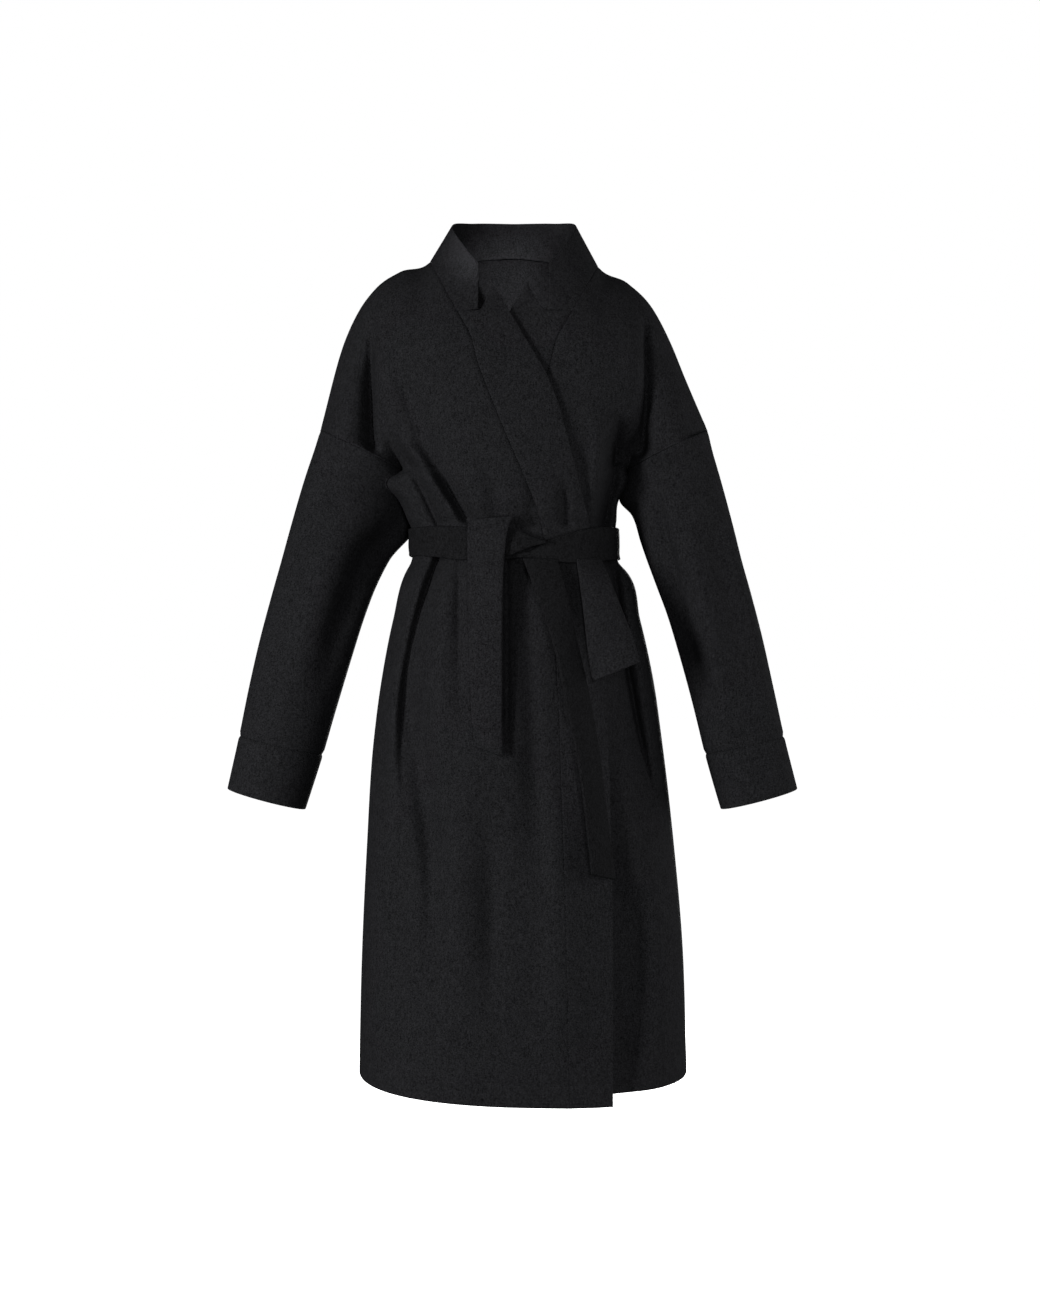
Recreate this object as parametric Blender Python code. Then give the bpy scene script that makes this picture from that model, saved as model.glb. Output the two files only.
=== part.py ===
"""A belted wrap coat in heavy wool cloth, hollow and filled out as if worn.

Metres, +Z up. The front faces -Y and +X is the viewer's right. The origin lies on the
middle of the shoulder line, where the wearer's shoulders carry the coat.
"""

import math
from collections import namedtuple

import bpy
import numpy as np

MM = 0.001

# Cloth
CLOTH = 2.5 * MM
BELT_CLOTH = 4.0 * MM
SEAM_GAP = 0.4 * MM
BELT_CLEARANCE = 0.8 * MM
WRAP_DEPTH = 4.6 * MM
WRAP_FADE = (16 * MM, 60 * MM)
WRAP_SINK = 0.11
WRAP_PLAIN = 60 * MM
STEEPEST_SLOPE = 2.0
SLOPE_STEP = 0.5 * MM
UNDER_SHIFT = 24 * MM
UNDER_SHIFT_LEVELS = (-200 * MM, -360 * MM)
UNDER_NECK_SHIFT = 11 * MM
UNDER_NECK_FADE = 90 * MM

# Levels
UNDERARM_Z = -272 * MM
HEM_Z = -1059 * MM
SIDE_HEM_RISE = 11 * MM
OVER_HEM_DIP = 13 * MM
HEM_FADE_POWER = 4
BELT_TOP_Z = -350 * MM
BELT_BOTTOM_Z = -388 * MM

# Shoulders, neck and arms
NECK_HALF_WIDTH = 109 * MM
BACK_NECK_Z = 17 * MM
NECK_CURVE = 1.3
SHOULDER_ROUND = 140 * MM
SECTION_SQUARENESS = 2.2
SIDE_FADE_POWER = 10
ARM_BLEND = 5
RING_X = 199 * MM
RING_Z = -246 * MM
RING_HALF_WIDTH = 59 * MM
RING_HALF_DEPTH = 56 * MM
RING_TILT = math.radians(26)
ARM_LEAN = math.radians(14.7)
OUTER_ARM_X = RING_X + RING_HALF_WIDTH * math.cos(RING_TILT)

# Collar and the notch under it; the shares are along half of it, from the middle of the back
BACK_SHARE = 0.5
NOTCH_SHARE = 5 / 6
COLLAR_FRONT_Z = -75.5 * MM
COLLAR_END_Z = -73.5 * MM
COLLAR_END_ACROSS = 44 * MM
COLLAR_RISE = 0.4 * MM
PEAK_RISE = {-1: 36 * MM, 1: 30 * MM}
PEAK_START = 1 / 2
PEAK_FADE = 45 * MM

# Edges of a panel's net, and the directions that their seams keep clear of
TOP_ROW = (0, slice(None))
BAND_SEAM_COLUMN = (slice(None), 0)
ACROSS = np.array([1.0, 0.0, 0.0])
FLAT_SEAM = np.array([0.0, 1.0, 0.0])

# Mesh density; the share is the neck's part of the columns in half the back
NECK_SHARE = 0.4
UPPER_ROWS = 10
UPPER_CROWDING = 1.5
FRONT_COLUMNS = 16
BACK_COLUMNS = 30
BAND_COLUMNS = 4
SLEEVE_SIDES = 18
SLEEVE_ROWS = 18
CUFF_ROWS = 2
SEAM_STEPS = 80
COLLAR_COLUMNS = 24
COLLAR_ROWS = 3
BELT_COLUMNS = 44
RIBBON_STEPS = 12
RIBBON_COLUMNS = 3
LOWER_ROWS_Z = (
    -272, -290, -308, -324, -338, -350, -369, -388, -402, -422, -450,
    -485, -525, -570, -620, -680, -745, -815, -890, -960, -1020, -1059,
)

# Half widths to the viewer's left and right, and depths to front and back, in mm
Section = namedtuple("Section", "z left right front back")
TORSO = (
    Section(60, 235, 230, 70, 84),
    Section(0, 232, 226, 79, 92),
    Section(-50, 226, 220, 91, 100),
    Section(-100, 214, 208, 103, 104),
    Section(-160, 195, 190, 114, 105),
    Section(-220, 172, 168, 119, 103),
    Section(-272, 146, 146, 119, 98),
    Section(-290, 142, 140, 118, 95),
    Section(-310, 140, 135, 116, 92),
    Section(-338, 137, 133, 107, 86),
    Section(-347, 133, 132, 102, 83),
    Section(-354, 132, 132, 101, 82),
    Section(-369, 132, 132, 100, 82),
    Section(-384, 132, 133, 101, 82),
    Section(-391, 134, 136, 102, 83),
    Section(-402, 140, 146, 107, 88),
    Section(-465, 157, 162, 121, 106),
    Section(-543, 172, 178, 131, 119),
    Section(-620, 182, 188, 136, 125),
    Section(-760, 191, 205, 141, 130),
    Section(-890, 197, 217, 145, 134),
    Section(-1010, 200, 223, 148, 137),
    Section(-1080, 201, 225, 150, 139),
)

# Height of the shoulder line, in mm; inside the neck it runs on as a plain slope
Shoulder = namedtuple("Shoulder", "across left right")
SHOULDER_LINE = (
    Shoulder(0, 60, 60),
    Shoulder(60, 40, 40),
    Shoulder(95, 18, 15),
    Shoulder(109, 0, -6),
    Shoulder(148, -13, -28),
    Shoulder(181, -36, -62),
    Shoulder(204, -68, -106),
    Shoulder(222, -108, -150),
    Shoulder(252, -220, -220),
)

# Front band: its seam and its free edge, measured across from the middle, in mm
BandLine = namedtuple("BandLine", "z across")
BAND_SEAM = (
    BandLine(0, 109),
    BandLine(-55, 82),
    BandLine(-82, 68),
    BandLine(-104, 56),
    BandLine(-143, 45),
    BandLine(-186, 29),
    BandLine(-233, 10),
    BandLine(-277, -9),
    BandLine(-345, -34),
    BandLine(-400, -42),
    BandLine(-760, -62),
    BandLine(-1080, -70),
)
BAND_EDGE = (
    BandLine(-30, 32),
    BandLine(-38, 28),
    BandLine(-79, 4),
    BandLine(-119, -19),
    BandLine(-149, -37),
    BandLine(-186, -53),
    BandLine(-223, -64),
    BandLine(-280, -79),
    BandLine(-345, -96),
    BandLine(-420, -106),
    BandLine(-789, -123),
    BandLine(-1080, -124),
)

# Upper edge of the collar, from the middle of the back to the front end, in mm
CollarTop = namedtuple("CollarTop", "along x y z")
COLLAR_TOP = (
    CollarTop(0.0, 0, 62, 61),
    CollarTop(0.3, 54, 46, 59),
    CollarTop(0.5, 79, 6, 51),
    CollarTop(0.8, 65, -56, 13),
    CollarTop(1.0, 46, -80, -14),
)

# Sleeve: middle, half width, half depth and tilt of each ring, and how much the viewer's
# left sleeve is fuller towards the outside and the inside, and how far behind the waist its
# inside hangs, in mm and degrees
SleeveRing = namedtuple("SleeveRing", "along x y z width depth tilt left_out left_in left_behind")
SLEEVE = (
    SleeveRing(0.00, 199, 0, -248, 59, 56, 28, 0, 0, 0),
    SleeveRing(0.06, 206, 0, -277, 59, 56, 25, 2, 8, 16),
    SleeveRing(0.12, 213, -1, -306, 60, 56, 22, 3, 30, 46),
    SleeveRing(0.25, 228, -2, -368, 61, 55, 17, 5, 7, 28),
    SleeveRing(0.33, 238, -4, -405, 60, 54, 16, 6, 1, 10),
    SleeveRing(0.41, 249, -6, -441, 59, 53, 15, 6, 0, 0),
    SleeveRing(0.52, 263, -8, -491, 58, 52, 15, 7, 0, 0),
    SleeveRing(0.70, 283, -14, -569, 55, 49, 14, 7, -1, 0),
    SleeveRing(0.84, 297, -19, -626, 53, 47, 13, 6, -1, 0),
    SleeveRing(1.00, 316, -25, -696, 51, 45, 15, 4, -2, 0),
)
CUFF_SEAM = 0.84
SLEEVE_LENGTH = 463 * MM

# Folds: a line down the front view, its sideways bow, half width and height, in mm
Fold = namedtuple("Fold", "x_top z_top x_bottom z_bottom bow width height")
FRONT_FOLDS = (
    Fold(-184, -55, -172, -270, 0, 16, -32),
    Fold(171, -62, 168, -270, 5, 16, -32),
    Fold(-136, -240, -94, -349, 0, 13, -18),
    Fold(-112, -225, -72, -347, 0, 13, 9),
    Fold(-98, -226, -48, -346, 0, 13, -13),
    Fold(-24, -240, -16, -347, 0, 15, 6),
    Fold(137, -200, 115, -349, 4, 14, -20),
    Fold(-91, -380, -119, -800, -23, 13, -44),
    Fold(-62, -385, -84, -900, -12, 22, 11),
    Fold(-22, -520, -10, -1040, 0, 28, -7),
    Fold(64, -600, 58, -1100, 0, 24, 5),
    Fold(120, -380, 196, -860, 10, 12, -40),
    Fold(128, -470, 160, -980, 8, 18, 9),
)
BACK_FOLDS = (
    Fold(-182, -80, -172, -262, 0, 10, -20),
    Fold(180, -80, 172, -262, 0, 10, -20),
    Fold(-118, -240, -96, -348, 0, 9, -9),
    Fold(-52, -262, -44, -348, 0, 10, 6),
    Fold(14, -270, 12, -348, 0, 9, -6),
    Fold(66, -250, 54, -348, 0, 11, 7),
    Fold(122, -240, 104, -348, 0, 9, -9),
    Fold(-104, -388, -150, -860, -10, 16, -17),
    Fold(-58, -388, -78, -760, -4, 20, 9),
    Fold(-18, -388, -24, -840, 0, 15, -9),
    Fold(30, -388, 44, -920, 4, 22, 8),
    Fold(76, -388, 112, -800, 8, 15, -13),
    Fold(118, -388, 170, -940, 8, 18, 8),
)
FOLD_RISE = 0.18
FOLD_FALL = 0.5

# Sleeve folds: turn round the arm, ends along it, half width, height
SleeveFold = namedtuple("SleeveFold", "turn start end width height")
SLEEVE_FOLDS = (
    SleeveFold(-60, 0.04, 0.70, 18, -5),
    SleeveFold(-105, 0.10, 0.84, 24, 4),
    SleeveFold(-150, 0.05, 0.60, 17, -5),
    SleeveFold(70, 0.06, 0.66, 20, -5),
    SleeveFold(125, 0.12, 0.80, 22, 4),
)

# Belt pieces: both edges of each step down the piece, and how far they stand out, in mm
Step = namedtuple("Step", "x_left z_left out_left x_right z_right out_right")
BELT_KNOT = (
    Step(-48, -387, 10, -48, -348, 10),
    Step(-8, -386, 13, -8, -350, 11),
    Step(6, -382, 13, 6, -354, 11),
    Step(24, -376, 12, 24, -361, 11),
    Step(41, -372, 11, 41, -366, 11),
)
BELT_LOOP = (
    Step(-54, -338, 15, -8, -335, 19),
    Step(-58, -350, 16, -9, -350, 23),
    Step(-58, -388, 15, -10, -388, 23),
    Step(-57, -440, 7, -10, -440, 20),
    Step(-54, -530, 5, -11, -530, 19),
    Step(-51, -600, 5, -12, -604, 18),
    Step(-48, -622, 5, -13, -634, 17),
)
BELT_END_SHORT = (
    Step(79, -388.4, 6.4, 112, -388.4, 7.6),
    Step(83, -425, 8, 124, -420, 13),
    Step(88, -470, 10, 138, -457, 22),
    Step(92, -510, 12, 150, -490, 32),
    Step(97, -544, 14, 158, -518, 40),
)
BELT_END_LONG = (
    Step(11, -388.4, 6, 55, -388.4, 6),
    Step(34, -450, 9, 70, -446, 9),
    Step(53, -510, 12, 84, -508, 13),
    Step(66, -570, 14, 97, -568, 16),
    Step(77, -625, 15, 107, -624, 17),
    Step(86, -680, 15, 114, -680, 17),
    Step(92, -735, 15, 121, -738, 16),
    Step(97, -781, 14, 128, -790, 15),
)

WOOL_COLOUR = (0.012, 0.012, 0.014, 1.0)
BELT_COLOUR = (0.014, 0.014, 0.016, 1.0)
WOOL_ROUGHNESS = 0.92
SHARP_ANGLE = math.radians(50)


def column(table, name, scale=MM):
    """One named column of a table, as an array."""
    return np.array([getattr(row, name) for row in table]) * scale


def curve(knots, values, at):
    """Smooth curve through a table's values; flat beyond its ends."""
    order = np.argsort(knots)
    knots = knots[order]
    values = values[order]
    slopes = np.gradient(values, knots)
    at = np.clip(at, knots[0], knots[-1])
    i = np.clip(np.searchsorted(knots, at) - 1, 0, len(knots) - 2)
    step = knots[i + 1] - knots[i]
    t = (at - knots[i]) / step
    start = values[i] * (1 + 2 * t) * (1 - t) ** 2 + slopes[i] * step * t * (1 - t) ** 2
    end = values[i + 1] * (3 - 2 * t) * t ** 2 + slopes[i + 1] * step * (t - 1) * t ** 2
    return start + end


def ease(t):
    """0 to 1 with soft ends."""
    t = np.clip(t, 0, 1)
    return t * t * (3 - 2 * t)


def half_width(x, z):
    """Half width of the body at a level, on the side where x lies."""
    levels = column(TORSO, "z")
    left = curve(levels, column(TORSO, "left"), z)
    right = curve(levels, column(TORSO, "right"), z)
    return np.where(x < 0, left, right)


def shoulder_z(x):
    """Height of the shoulder line above a place."""
    across = column(SHOULDER_LINE, "across")
    left = curve(across, column(SHOULDER_LINE, "left"), np.abs(x))
    right = curve(across, column(SHOULDER_LINE, "right"), np.abs(x))
    return np.where(x < 0, left, right)


def fold_height(folds, x, z):
    """Sum of the folds that cross a place in the front view."""
    total = np.zeros_like(x + z)
    for fold in folds:
        t = (fold.z_top * MM - z) / ((fold.z_top - fold.z_bottom) * MM)
        along = np.clip(t, 0, 1)
        bow = 4 * fold.bow * along * (1 - along)
        line = (fold.x_top + (fold.x_bottom - fold.x_top) * along + bow) * MM
        strength = ease(t / FOLD_RISE) * ease((1 - t) / FOLD_FALL)
        total = total + fold.height * MM * strength * np.exp(-((x - line) / (fold.width * MM)) ** 2)
    return total


def bare_depth(face, x, z):
    """Depth of the coat from its side seams to the front or back, before folds."""
    deep = curve(column(TORSO, "z"), column(TORSO, face), z)
    spread = np.clip(1 - np.abs(x / half_width(x, z)) ** SECTION_SQUARENESS, 0, 1)
    torso = deep * spread ** (1 / SECTION_SQUARENESS)
    right = (np.abs(x) - RING_X) * math.cos(ARM_LEAN) + (z - RING_Z) * math.sin(ARM_LEAN)
    turn = right / (RING_HALF_WIDTH * math.cos(RING_TILT - ARM_LEAN))
    arm = RING_HALF_DEPTH * np.sqrt(np.clip(1 - turn ** 2, 0, 1))
    both = (torso ** ARM_BLEND + arm ** ARM_BLEND) ** (1 / ARM_BLEND)
    below = np.clip((shoulder_z(x) - z) / SHOULDER_ROUND, 0, 1)
    return both * np.sqrt(1 - (1 - below) ** 2)


def side_fade(x, z):
    """1 over the middle of a panel, 0 at the side seam, so folds never open the seam."""
    return 1 - np.clip(np.abs(x / half_width(x, z)), 0, 1) ** SIDE_FADE_POWER


def band_line(table, z):
    """Place across of a band's seam or edge at a level."""
    return curve(column(table, "z"), column(table, "across"), z)


def wrapped_line(table, side, z):
    """A band's seam or edge; the under front wraps further at the neck and less far below."""
    start, end = UNDER_SHIFT_LEVELS
    less = UNDER_SHIFT * ease((z - start) / (end - start))
    if table is BAND_EDGE:
        less = less - UNDER_NECK_SHIFT * ease((z - start) / UNDER_NECK_FADE)
    return band_line(table, z) + (less if side > 0 else 0.0)


def seam_level(side, t):
    """Level of a share of the band's seam from the neck point down to the underarm."""
    first = shoulder_z(np.array(side * NECK_HALF_WIDTH))
    return first + (UNDERARM_Z - first) * t


def seam_across(side, z):
    """Place across of the band's seam, which starts at its own side's neck point."""
    first = shoulder_z(np.array(side * NECK_HALF_WIDTH))
    left = np.clip((UNDERARM_Z - z) / (UNDERARM_Z - first), 0, 1)
    return wrapped_line(BAND_SEAM, side, z - first * left)


def over_depth(x, z):
    """Depth of the over front's face, folds included."""
    return bare_depth("front", x, z) + fold_height(FRONT_FOLDS, x, z) * side_fade(x, z)


def under_depth(x, z):
    """Depth of the under front's face: plain, and further in, where the over front hides it."""
    start, end = WRAP_FADE
    beyond = x + band_line(BAND_EDGE, z)
    plain = bare_depth("front", x, z)
    to_right = bare_depth("front", x + SLOPE_STEP, z)
    to_left = bare_depth("front", x - SLOPE_STEP, z)
    slope = (to_right - to_left) / (2 * SLOPE_STEP)
    lean = np.sqrt(1 + np.minimum(slope ** 2, STEEPEST_SLOPE ** 2))
    dip = WRAP_DEPTH * ease((end - beyond) / (end - start)) + WRAP_SINK * np.clip(-beyond, 0, None)
    folds = fold_height(FRONT_FOLDS, x, z) * ease(1 + beyond / WRAP_PLAIN)
    return plain + (folds - dip * lean) * side_fade(x, z)


def back_depth(x, z):
    """Depth of the back's face, folds included."""
    return bare_depth("back", x, z) + fold_height(BACK_FOLDS, x, z) * side_fade(x, z)


def angle_at(x, z):
    """Angle round the body of a place on the front."""
    share = np.clip(np.abs(x / half_width(x, z)), 0, 1) ** (SECTION_SQUARENESS / 2)
    return np.sign(x) * np.arcsin(share)


def x_at(angle, z):
    """Place across the body of an angle round it."""
    share = np.abs(np.sin(angle)) ** (2 / SECTION_SQUARENESS)
    return np.sign(angle) * share * half_width(angle, z)


def shoulder_seam(t, side):
    """Front view of the shoulder seam, from the neck to the arm, evenly along it."""
    across = np.linspace(NECK_HALF_WIDTH, OUTER_ARM_X, SEAM_STEPS)
    height = shoulder_z(side * across)
    lengths = np.hypot(np.diff(across), np.diff(height))
    reach = np.concatenate([[0], np.cumsum(lengths)])
    place = np.interp(t, reach / reach[-1], across)
    return side * place, shoulder_z(side * place)


def armhole(t, side):
    """Front view of the armhole, from the shoulder seam to the underarm."""
    along = RING_HALF_WIDTH * np.cos(math.pi * t)
    return side * (RING_X + along * math.cos(RING_TILT)), RING_Z + along * math.sin(RING_TILT)


def underarm_row(angle):
    """Front view of the level row from side seam to side seam."""
    return x_at(angle, UNDERARM_Z + 0 * angle), UNDERARM_Z + 0 * angle


def patch(top, bottom, start, end, u, v):
    """Fill four border curves, given as functions, with a smooth net in the front view."""
    net = []
    for axis in (0, 1):
        across = (1 - u) * start(v)[axis] + u * end(v)[axis]
        down = (1 - v) * top(u)[axis] + v * bottom(u)[axis]
        upper = (1 - u) * top(0 * u)[axis] + u * top(0 * u + 1)[axis]
        lower = (1 - u) * bottom(0 * u)[axis] + u * bottom(0 * u + 1)[axis]
        net.append(across + down - (1 - v) * upper - v * lower)
    return net


def front_net(side, u, v):
    """Front view of a front panel above the underarm: u from the band to the arm, v down."""
    def band_side(t):
        level = seam_level(side, t)
        return side * seam_across(side, level), level

    def foot(t):
        first = angle_at(side * seam_across(side, np.array(UNDERARM_Z)), UNDERARM_Z)
        return underarm_row(first + (side * math.pi / 2 - first) * t)

    return patch(lambda t: shoulder_seam(t, side), foot, band_side, lambda t: armhole(t, side), u, v)


def neck_and_shoulders(t):
    """Upper edge of the back: shoulder, neck, shoulder."""
    side = np.where(t < 0.5, -1.0, 1.0)
    out = np.abs(t - 0.5) / 0.5
    seam = np.clip((out - NECK_SHARE) / (1 - NECK_SHARE), 0, 1)
    seam_x, seam_z = shoulder_seam(seam, 1)
    left_x, left_z = shoulder_seam(seam, -1)
    neck_x, neck_z = back_neck(out / NECK_SHARE, side)
    in_neck = out < NECK_SHARE
    x = np.where(in_neck, neck_x, np.where(side < 0, left_x, seam_x))
    z = np.where(in_neck, neck_z, np.where(side < 0, left_z, seam_z))
    return x, z


def back_neck(t, side):
    """Front view of half the back neck, from its middle to the neck point."""
    t = np.clip(t, 0, 1)
    end = shoulder_z(side * NECK_HALF_WIDTH)
    return side * NECK_HALF_WIDTH * np.sin(t * math.pi / 2), BACK_NECK_Z + (end - BACK_NECK_Z) * t ** NECK_CURVE


def back_net(u, v):
    """Front view of the back above the underarm."""
    return patch(
        neck_and_shoulders,
        lambda t: underarm_row((2 * t - 1) * math.pi / 2),
        lambda t: armhole(t, -1),
        lambda t: armhole(t, 1),
        u, v,
    )


def row_levels():
    """Rows of a panel: shares of the part above the underarm, then levels below it."""
    upper = np.linspace(0, 1, UPPER_ROWS + 1) ** UPPER_CROWDING
    return upper, np.array(LOWER_ROWS_Z) * MM


def stacked(upper, lower, axis):
    """One coordinate of a panel's net, the upper part on the lower."""
    return np.vstack([upper[axis][:-1], lower[axis]])


def surface_normals(points, closed):
    """Normals of a net from its neighbours; a closed net runs round on itself."""
    down = np.gradient(points, axis=0)
    if closed:
        across = np.roll(points, -1, axis=1) - np.roll(points, 1, axis=1)
    else:
        across = np.gradient(points, axis=1)
    normals = np.cross(across, down)
    return normals / np.linalg.norm(normals, axis=2, keepdims=True)


def outward(points, normals):
    """Turn a net's normals so that they point away from the middle of the coat."""
    return normals * np.sign(np.sum(normals[..., :2] * points[..., :2]))


def wall_mesh(name, outer, thickness, colour, closed=False, inner=None, trims=()):
    """A closed wall from its outer net: an inner net behind it, and rims along the edges.

    trims gives, for an edge, the direction that the wall's edge there must not lean in.
    """
    rows, columns = outer.shape[:2]
    if inner is None:
        offset = outward(outer, surface_normals(outer, closed))
        for edge, direction in trims:
            lean = np.sum(offset[edge] * direction, axis=-1, keepdims=True)
            straight = offset[edge] - lean * direction
            offset[edge] = straight / np.linalg.norm(straight, axis=-1, keepdims=True)
        inner = outer - thickness * offset
    points = np.concatenate([outer.reshape(-1, 3), inner.reshape(-1, 3)])
    behind = rows * columns
    faces = []
    spans = columns if closed else columns - 1
    for r in range(rows - 1):
        for c in range(spans):
            d = (c + 1) % columns
            a0 = r * columns + c
            a1 = r * columns + d
            b0 = a0 + columns
            b1 = a1 + columns
            faces.append((a0, b0, b1, a1))
            faces.append((behind + a0, behind + a1, behind + b1, behind + b0))
    loops = [[c for c in range(columns)], [(rows - 1) * columns + c for c in range(columns)]]
    if closed:
        borders = [loops[0] + loops[0][:1], (loops[1] + loops[1][:1])[::-1]]
    else:
        right = [r * columns + columns - 1 for r in range(rows)]
        left = [r * columns for r in range(rows)]
        borders = [loops[0] + right[1:] + loops[1][::-1][1:] + left[::-1][1:]]
    for border in borders:
        for a, b in zip(border[:-1], border[1:]):
            faces.append((a, b, behind + b, behind + a))
    return solid(name, points, faces, colour)


def solid(name, points, faces, colour):
    """A named object from points and faces, turned so that its faces point outwards."""
    mesh = bpy.data.meshes.new(name)
    mesh.from_pydata([tuple(p) for p in points], [], faces)
    mesh.validate()
    mesh.calc_loop_triangles()
    volume = 0.0
    for triangle in mesh.loop_triangles:
        a, b, c = (mesh.vertices[i].co for i in triangle.vertices)
        volume += a.dot(b.cross(c))
    if volume < 0:
        mesh.flip_normals()
    mesh.shade_smooth()
    mesh.set_sharp_from_angle(angle=SHARP_ANGLE)
    item = bpy.data.objects.new(name, mesh)
    bpy.context.scene.collection.objects.link(item)
    mesh.materials.append(cloth_material(name + "_cloth", colour))
    return item


def cloth_material(name, colour):
    """Matt wool cloth."""
    material = bpy.data.materials.new(name)
    material.use_nodes = True
    shader = material.node_tree.nodes["Principled BSDF"]
    shader.inputs["Base Color"].default_value = colour
    shader.inputs["Roughness"].default_value = WOOL_ROUGHNESS
    shader.inputs["Metallic"].default_value = 0.0
    return material


def side_rows(edge_column):
    """Rows from the underarm down, at a panel's side seam."""
    return slice(UPPER_ROWS, None), edge_column


def armhole_rows(edge_column):
    """Rows between the shoulder seam and the underarm, at a panel's armhole."""
    return slice(1, UPPER_ROWS), edge_column


def set_armhole_edge(outer, edge_column):
    """Nothing folds at the armhole, so its edge there is the plain ring."""
    edge = outer[:UPPER_ROWS + 1, edge_column]
    face = -1 if edge[UPPER_ROWS // 2, 1] < 0 else 1
    turn = math.pi * row_levels()[0]
    edge[:, 1] = face * (RING_HALF_DEPTH * np.sin(turn) + SEAM_GAP / 2)


def near_hem(z):
    """0 down to the underarm, 1 at the hem."""
    return np.clip((z - UNDERARM_Z) / (HEM_Z - UNDERARM_Z), 0, 1) ** HEM_FADE_POWER


def front_panel(name, side, depth):
    """One front, from the band's seam to the shoulder, armhole and side seam."""
    upper_rows, levels = row_levels()
    u = np.linspace(0, 1, FRONT_COLUMNS + 1)
    net_u, net_v = np.meshgrid(u, upper_rows)
    upper = front_net(side, net_u, net_v)
    low_u, low_z = np.meshgrid(u, levels)
    first = angle_at(side * seam_across(side, low_z), low_z)
    x_low = x_at(first + (side * math.pi / 2 - first) * low_u, low_z)
    dip = OVER_HEM_DIP if depth is over_depth else 0.0
    z_low = low_z + (SIDE_HEM_RISE * low_u ** 3 - dip * (1 - low_u)) * near_hem(low_z)
    x = stacked(upper, (x_low, z_low), 0)
    z = stacked(upper, (x_low, z_low), 1)
    outer = np.stack([x, -depth(x, z) - SEAM_GAP / 2, z], axis=2)
    outer[:, 0, 0] += side * SEAM_GAP / 2
    set_armhole_edge(outer, -1)
    trims = [
        (BAND_SEAM_COLUMN, ACROSS),
        (TOP_ROW, FLAT_SEAM),
        (side_rows(-1), FLAT_SEAM),
        (armhole_rows(-1), arm_direction(side)),
    ]
    return wall_mesh(name, outer, CLOTH, WOOL_COLOUR, trims=trims)


def arm_direction(side):
    """Direction square to the armhole's ring."""
    return np.array([-side * math.sin(RING_TILT), 0.0, math.cos(RING_TILT)])


def back_panel():
    """The back, in one piece from side seam to side seam."""
    upper_rows, levels = row_levels()
    u = np.linspace(0, 1, BACK_COLUMNS + 1)
    upper = back_net(*np.meshgrid(u, upper_rows))
    low_u, low_z = np.meshgrid(u, levels)
    x_low = x_at((2 * low_u - 1) * math.pi / 2, low_z)
    z_low = low_z + SIDE_HEM_RISE * np.abs(2 * low_u - 1) ** 3 * near_hem(low_z)
    x = stacked(upper, (x_low, z_low), 0)
    z = stacked(upper, (x_low, z_low), 1)
    outer = np.stack([x, back_depth(x, z) + SEAM_GAP / 2, z], axis=2)
    set_armhole_edge(outer, 0)
    set_armhole_edge(outer, -1)
    seam_columns = np.abs(u - 0.5) / 0.5 >= NECK_SHARE
    trims = [
        ((0, seam_columns), FLAT_SEAM),
        (side_rows(0), FLAT_SEAM),
        (side_rows(-1), FLAT_SEAM),
        (armhole_rows(0), arm_direction(-1)),
        (armhole_rows(-1), arm_direction(1)),
    ]
    return wall_mesh("back", outer, CLOTH, WOOL_COLOUR, trims=trims)


def front_band(name, side, depth):
    """One front band, from the collar's notch to the hem."""
    top = COLLAR_FRONT_Z - SEAM_GAP
    upper_rows, lower = row_levels()
    upper = seam_level(side, upper_rows[:-1])
    levels = np.concatenate([[top], upper[upper < top - CLOTH], lower])
    share, level = np.meshgrid(np.linspace(0, 1, BAND_COLUMNS + 1), levels)
    climb = np.clip((share - PEAK_START) / (1 - PEAK_START), 0, 1)
    rise = PEAK_RISE[side] * climb * np.exp((level - top) / PEAK_FADE)
    dip = OVER_HEM_DIP if depth is over_depth else 0.0
    z = level + rise - dip * near_hem(level)
    seam = seam_across(side, level) - SEAM_GAP / 2
    across = seam + (wrapped_line(BAND_EDGE, side, z) - seam) * share
    x = side * across
    outer = np.stack([x, -depth(x, z) - SEAM_GAP / 2, z], axis=2)
    return wall_mesh(name, outer, CLOTH, WOOL_COLOUR, trims=[(BAND_SEAM_COLUMN, ACROSS)])


def collar_base(t, side):
    """Lower edge of half the collar, along the back neck, the front seam and the band's top."""
    neck_x, neck_z = back_neck(t / BACK_SHARE, side)
    first = shoulder_z(side * NECK_HALF_WIDTH)
    down = np.clip((t - BACK_SHARE) / (NOTCH_SHARE - BACK_SHARE), 0, 1) ** UPPER_CROWDING
    seam_z = first + (COLLAR_FRONT_Z - first) * down
    foot = np.clip((t - NOTCH_SHARE) / (1 - NOTCH_SHARE), 0, 1)
    seam_x = np.where(side > 0, seam_across(1, seam_z), seam_across(-1, seam_z))
    x = np.where(t < BACK_SHARE, neck_x, side * (seam_x + (COLLAR_END_ACROSS - seam_x) * foot))
    z = np.where(t < BACK_SHARE, neck_z, seam_z + (COLLAR_END_Z - COLLAR_FRONT_Z) * foot)
    return x, z


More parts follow.
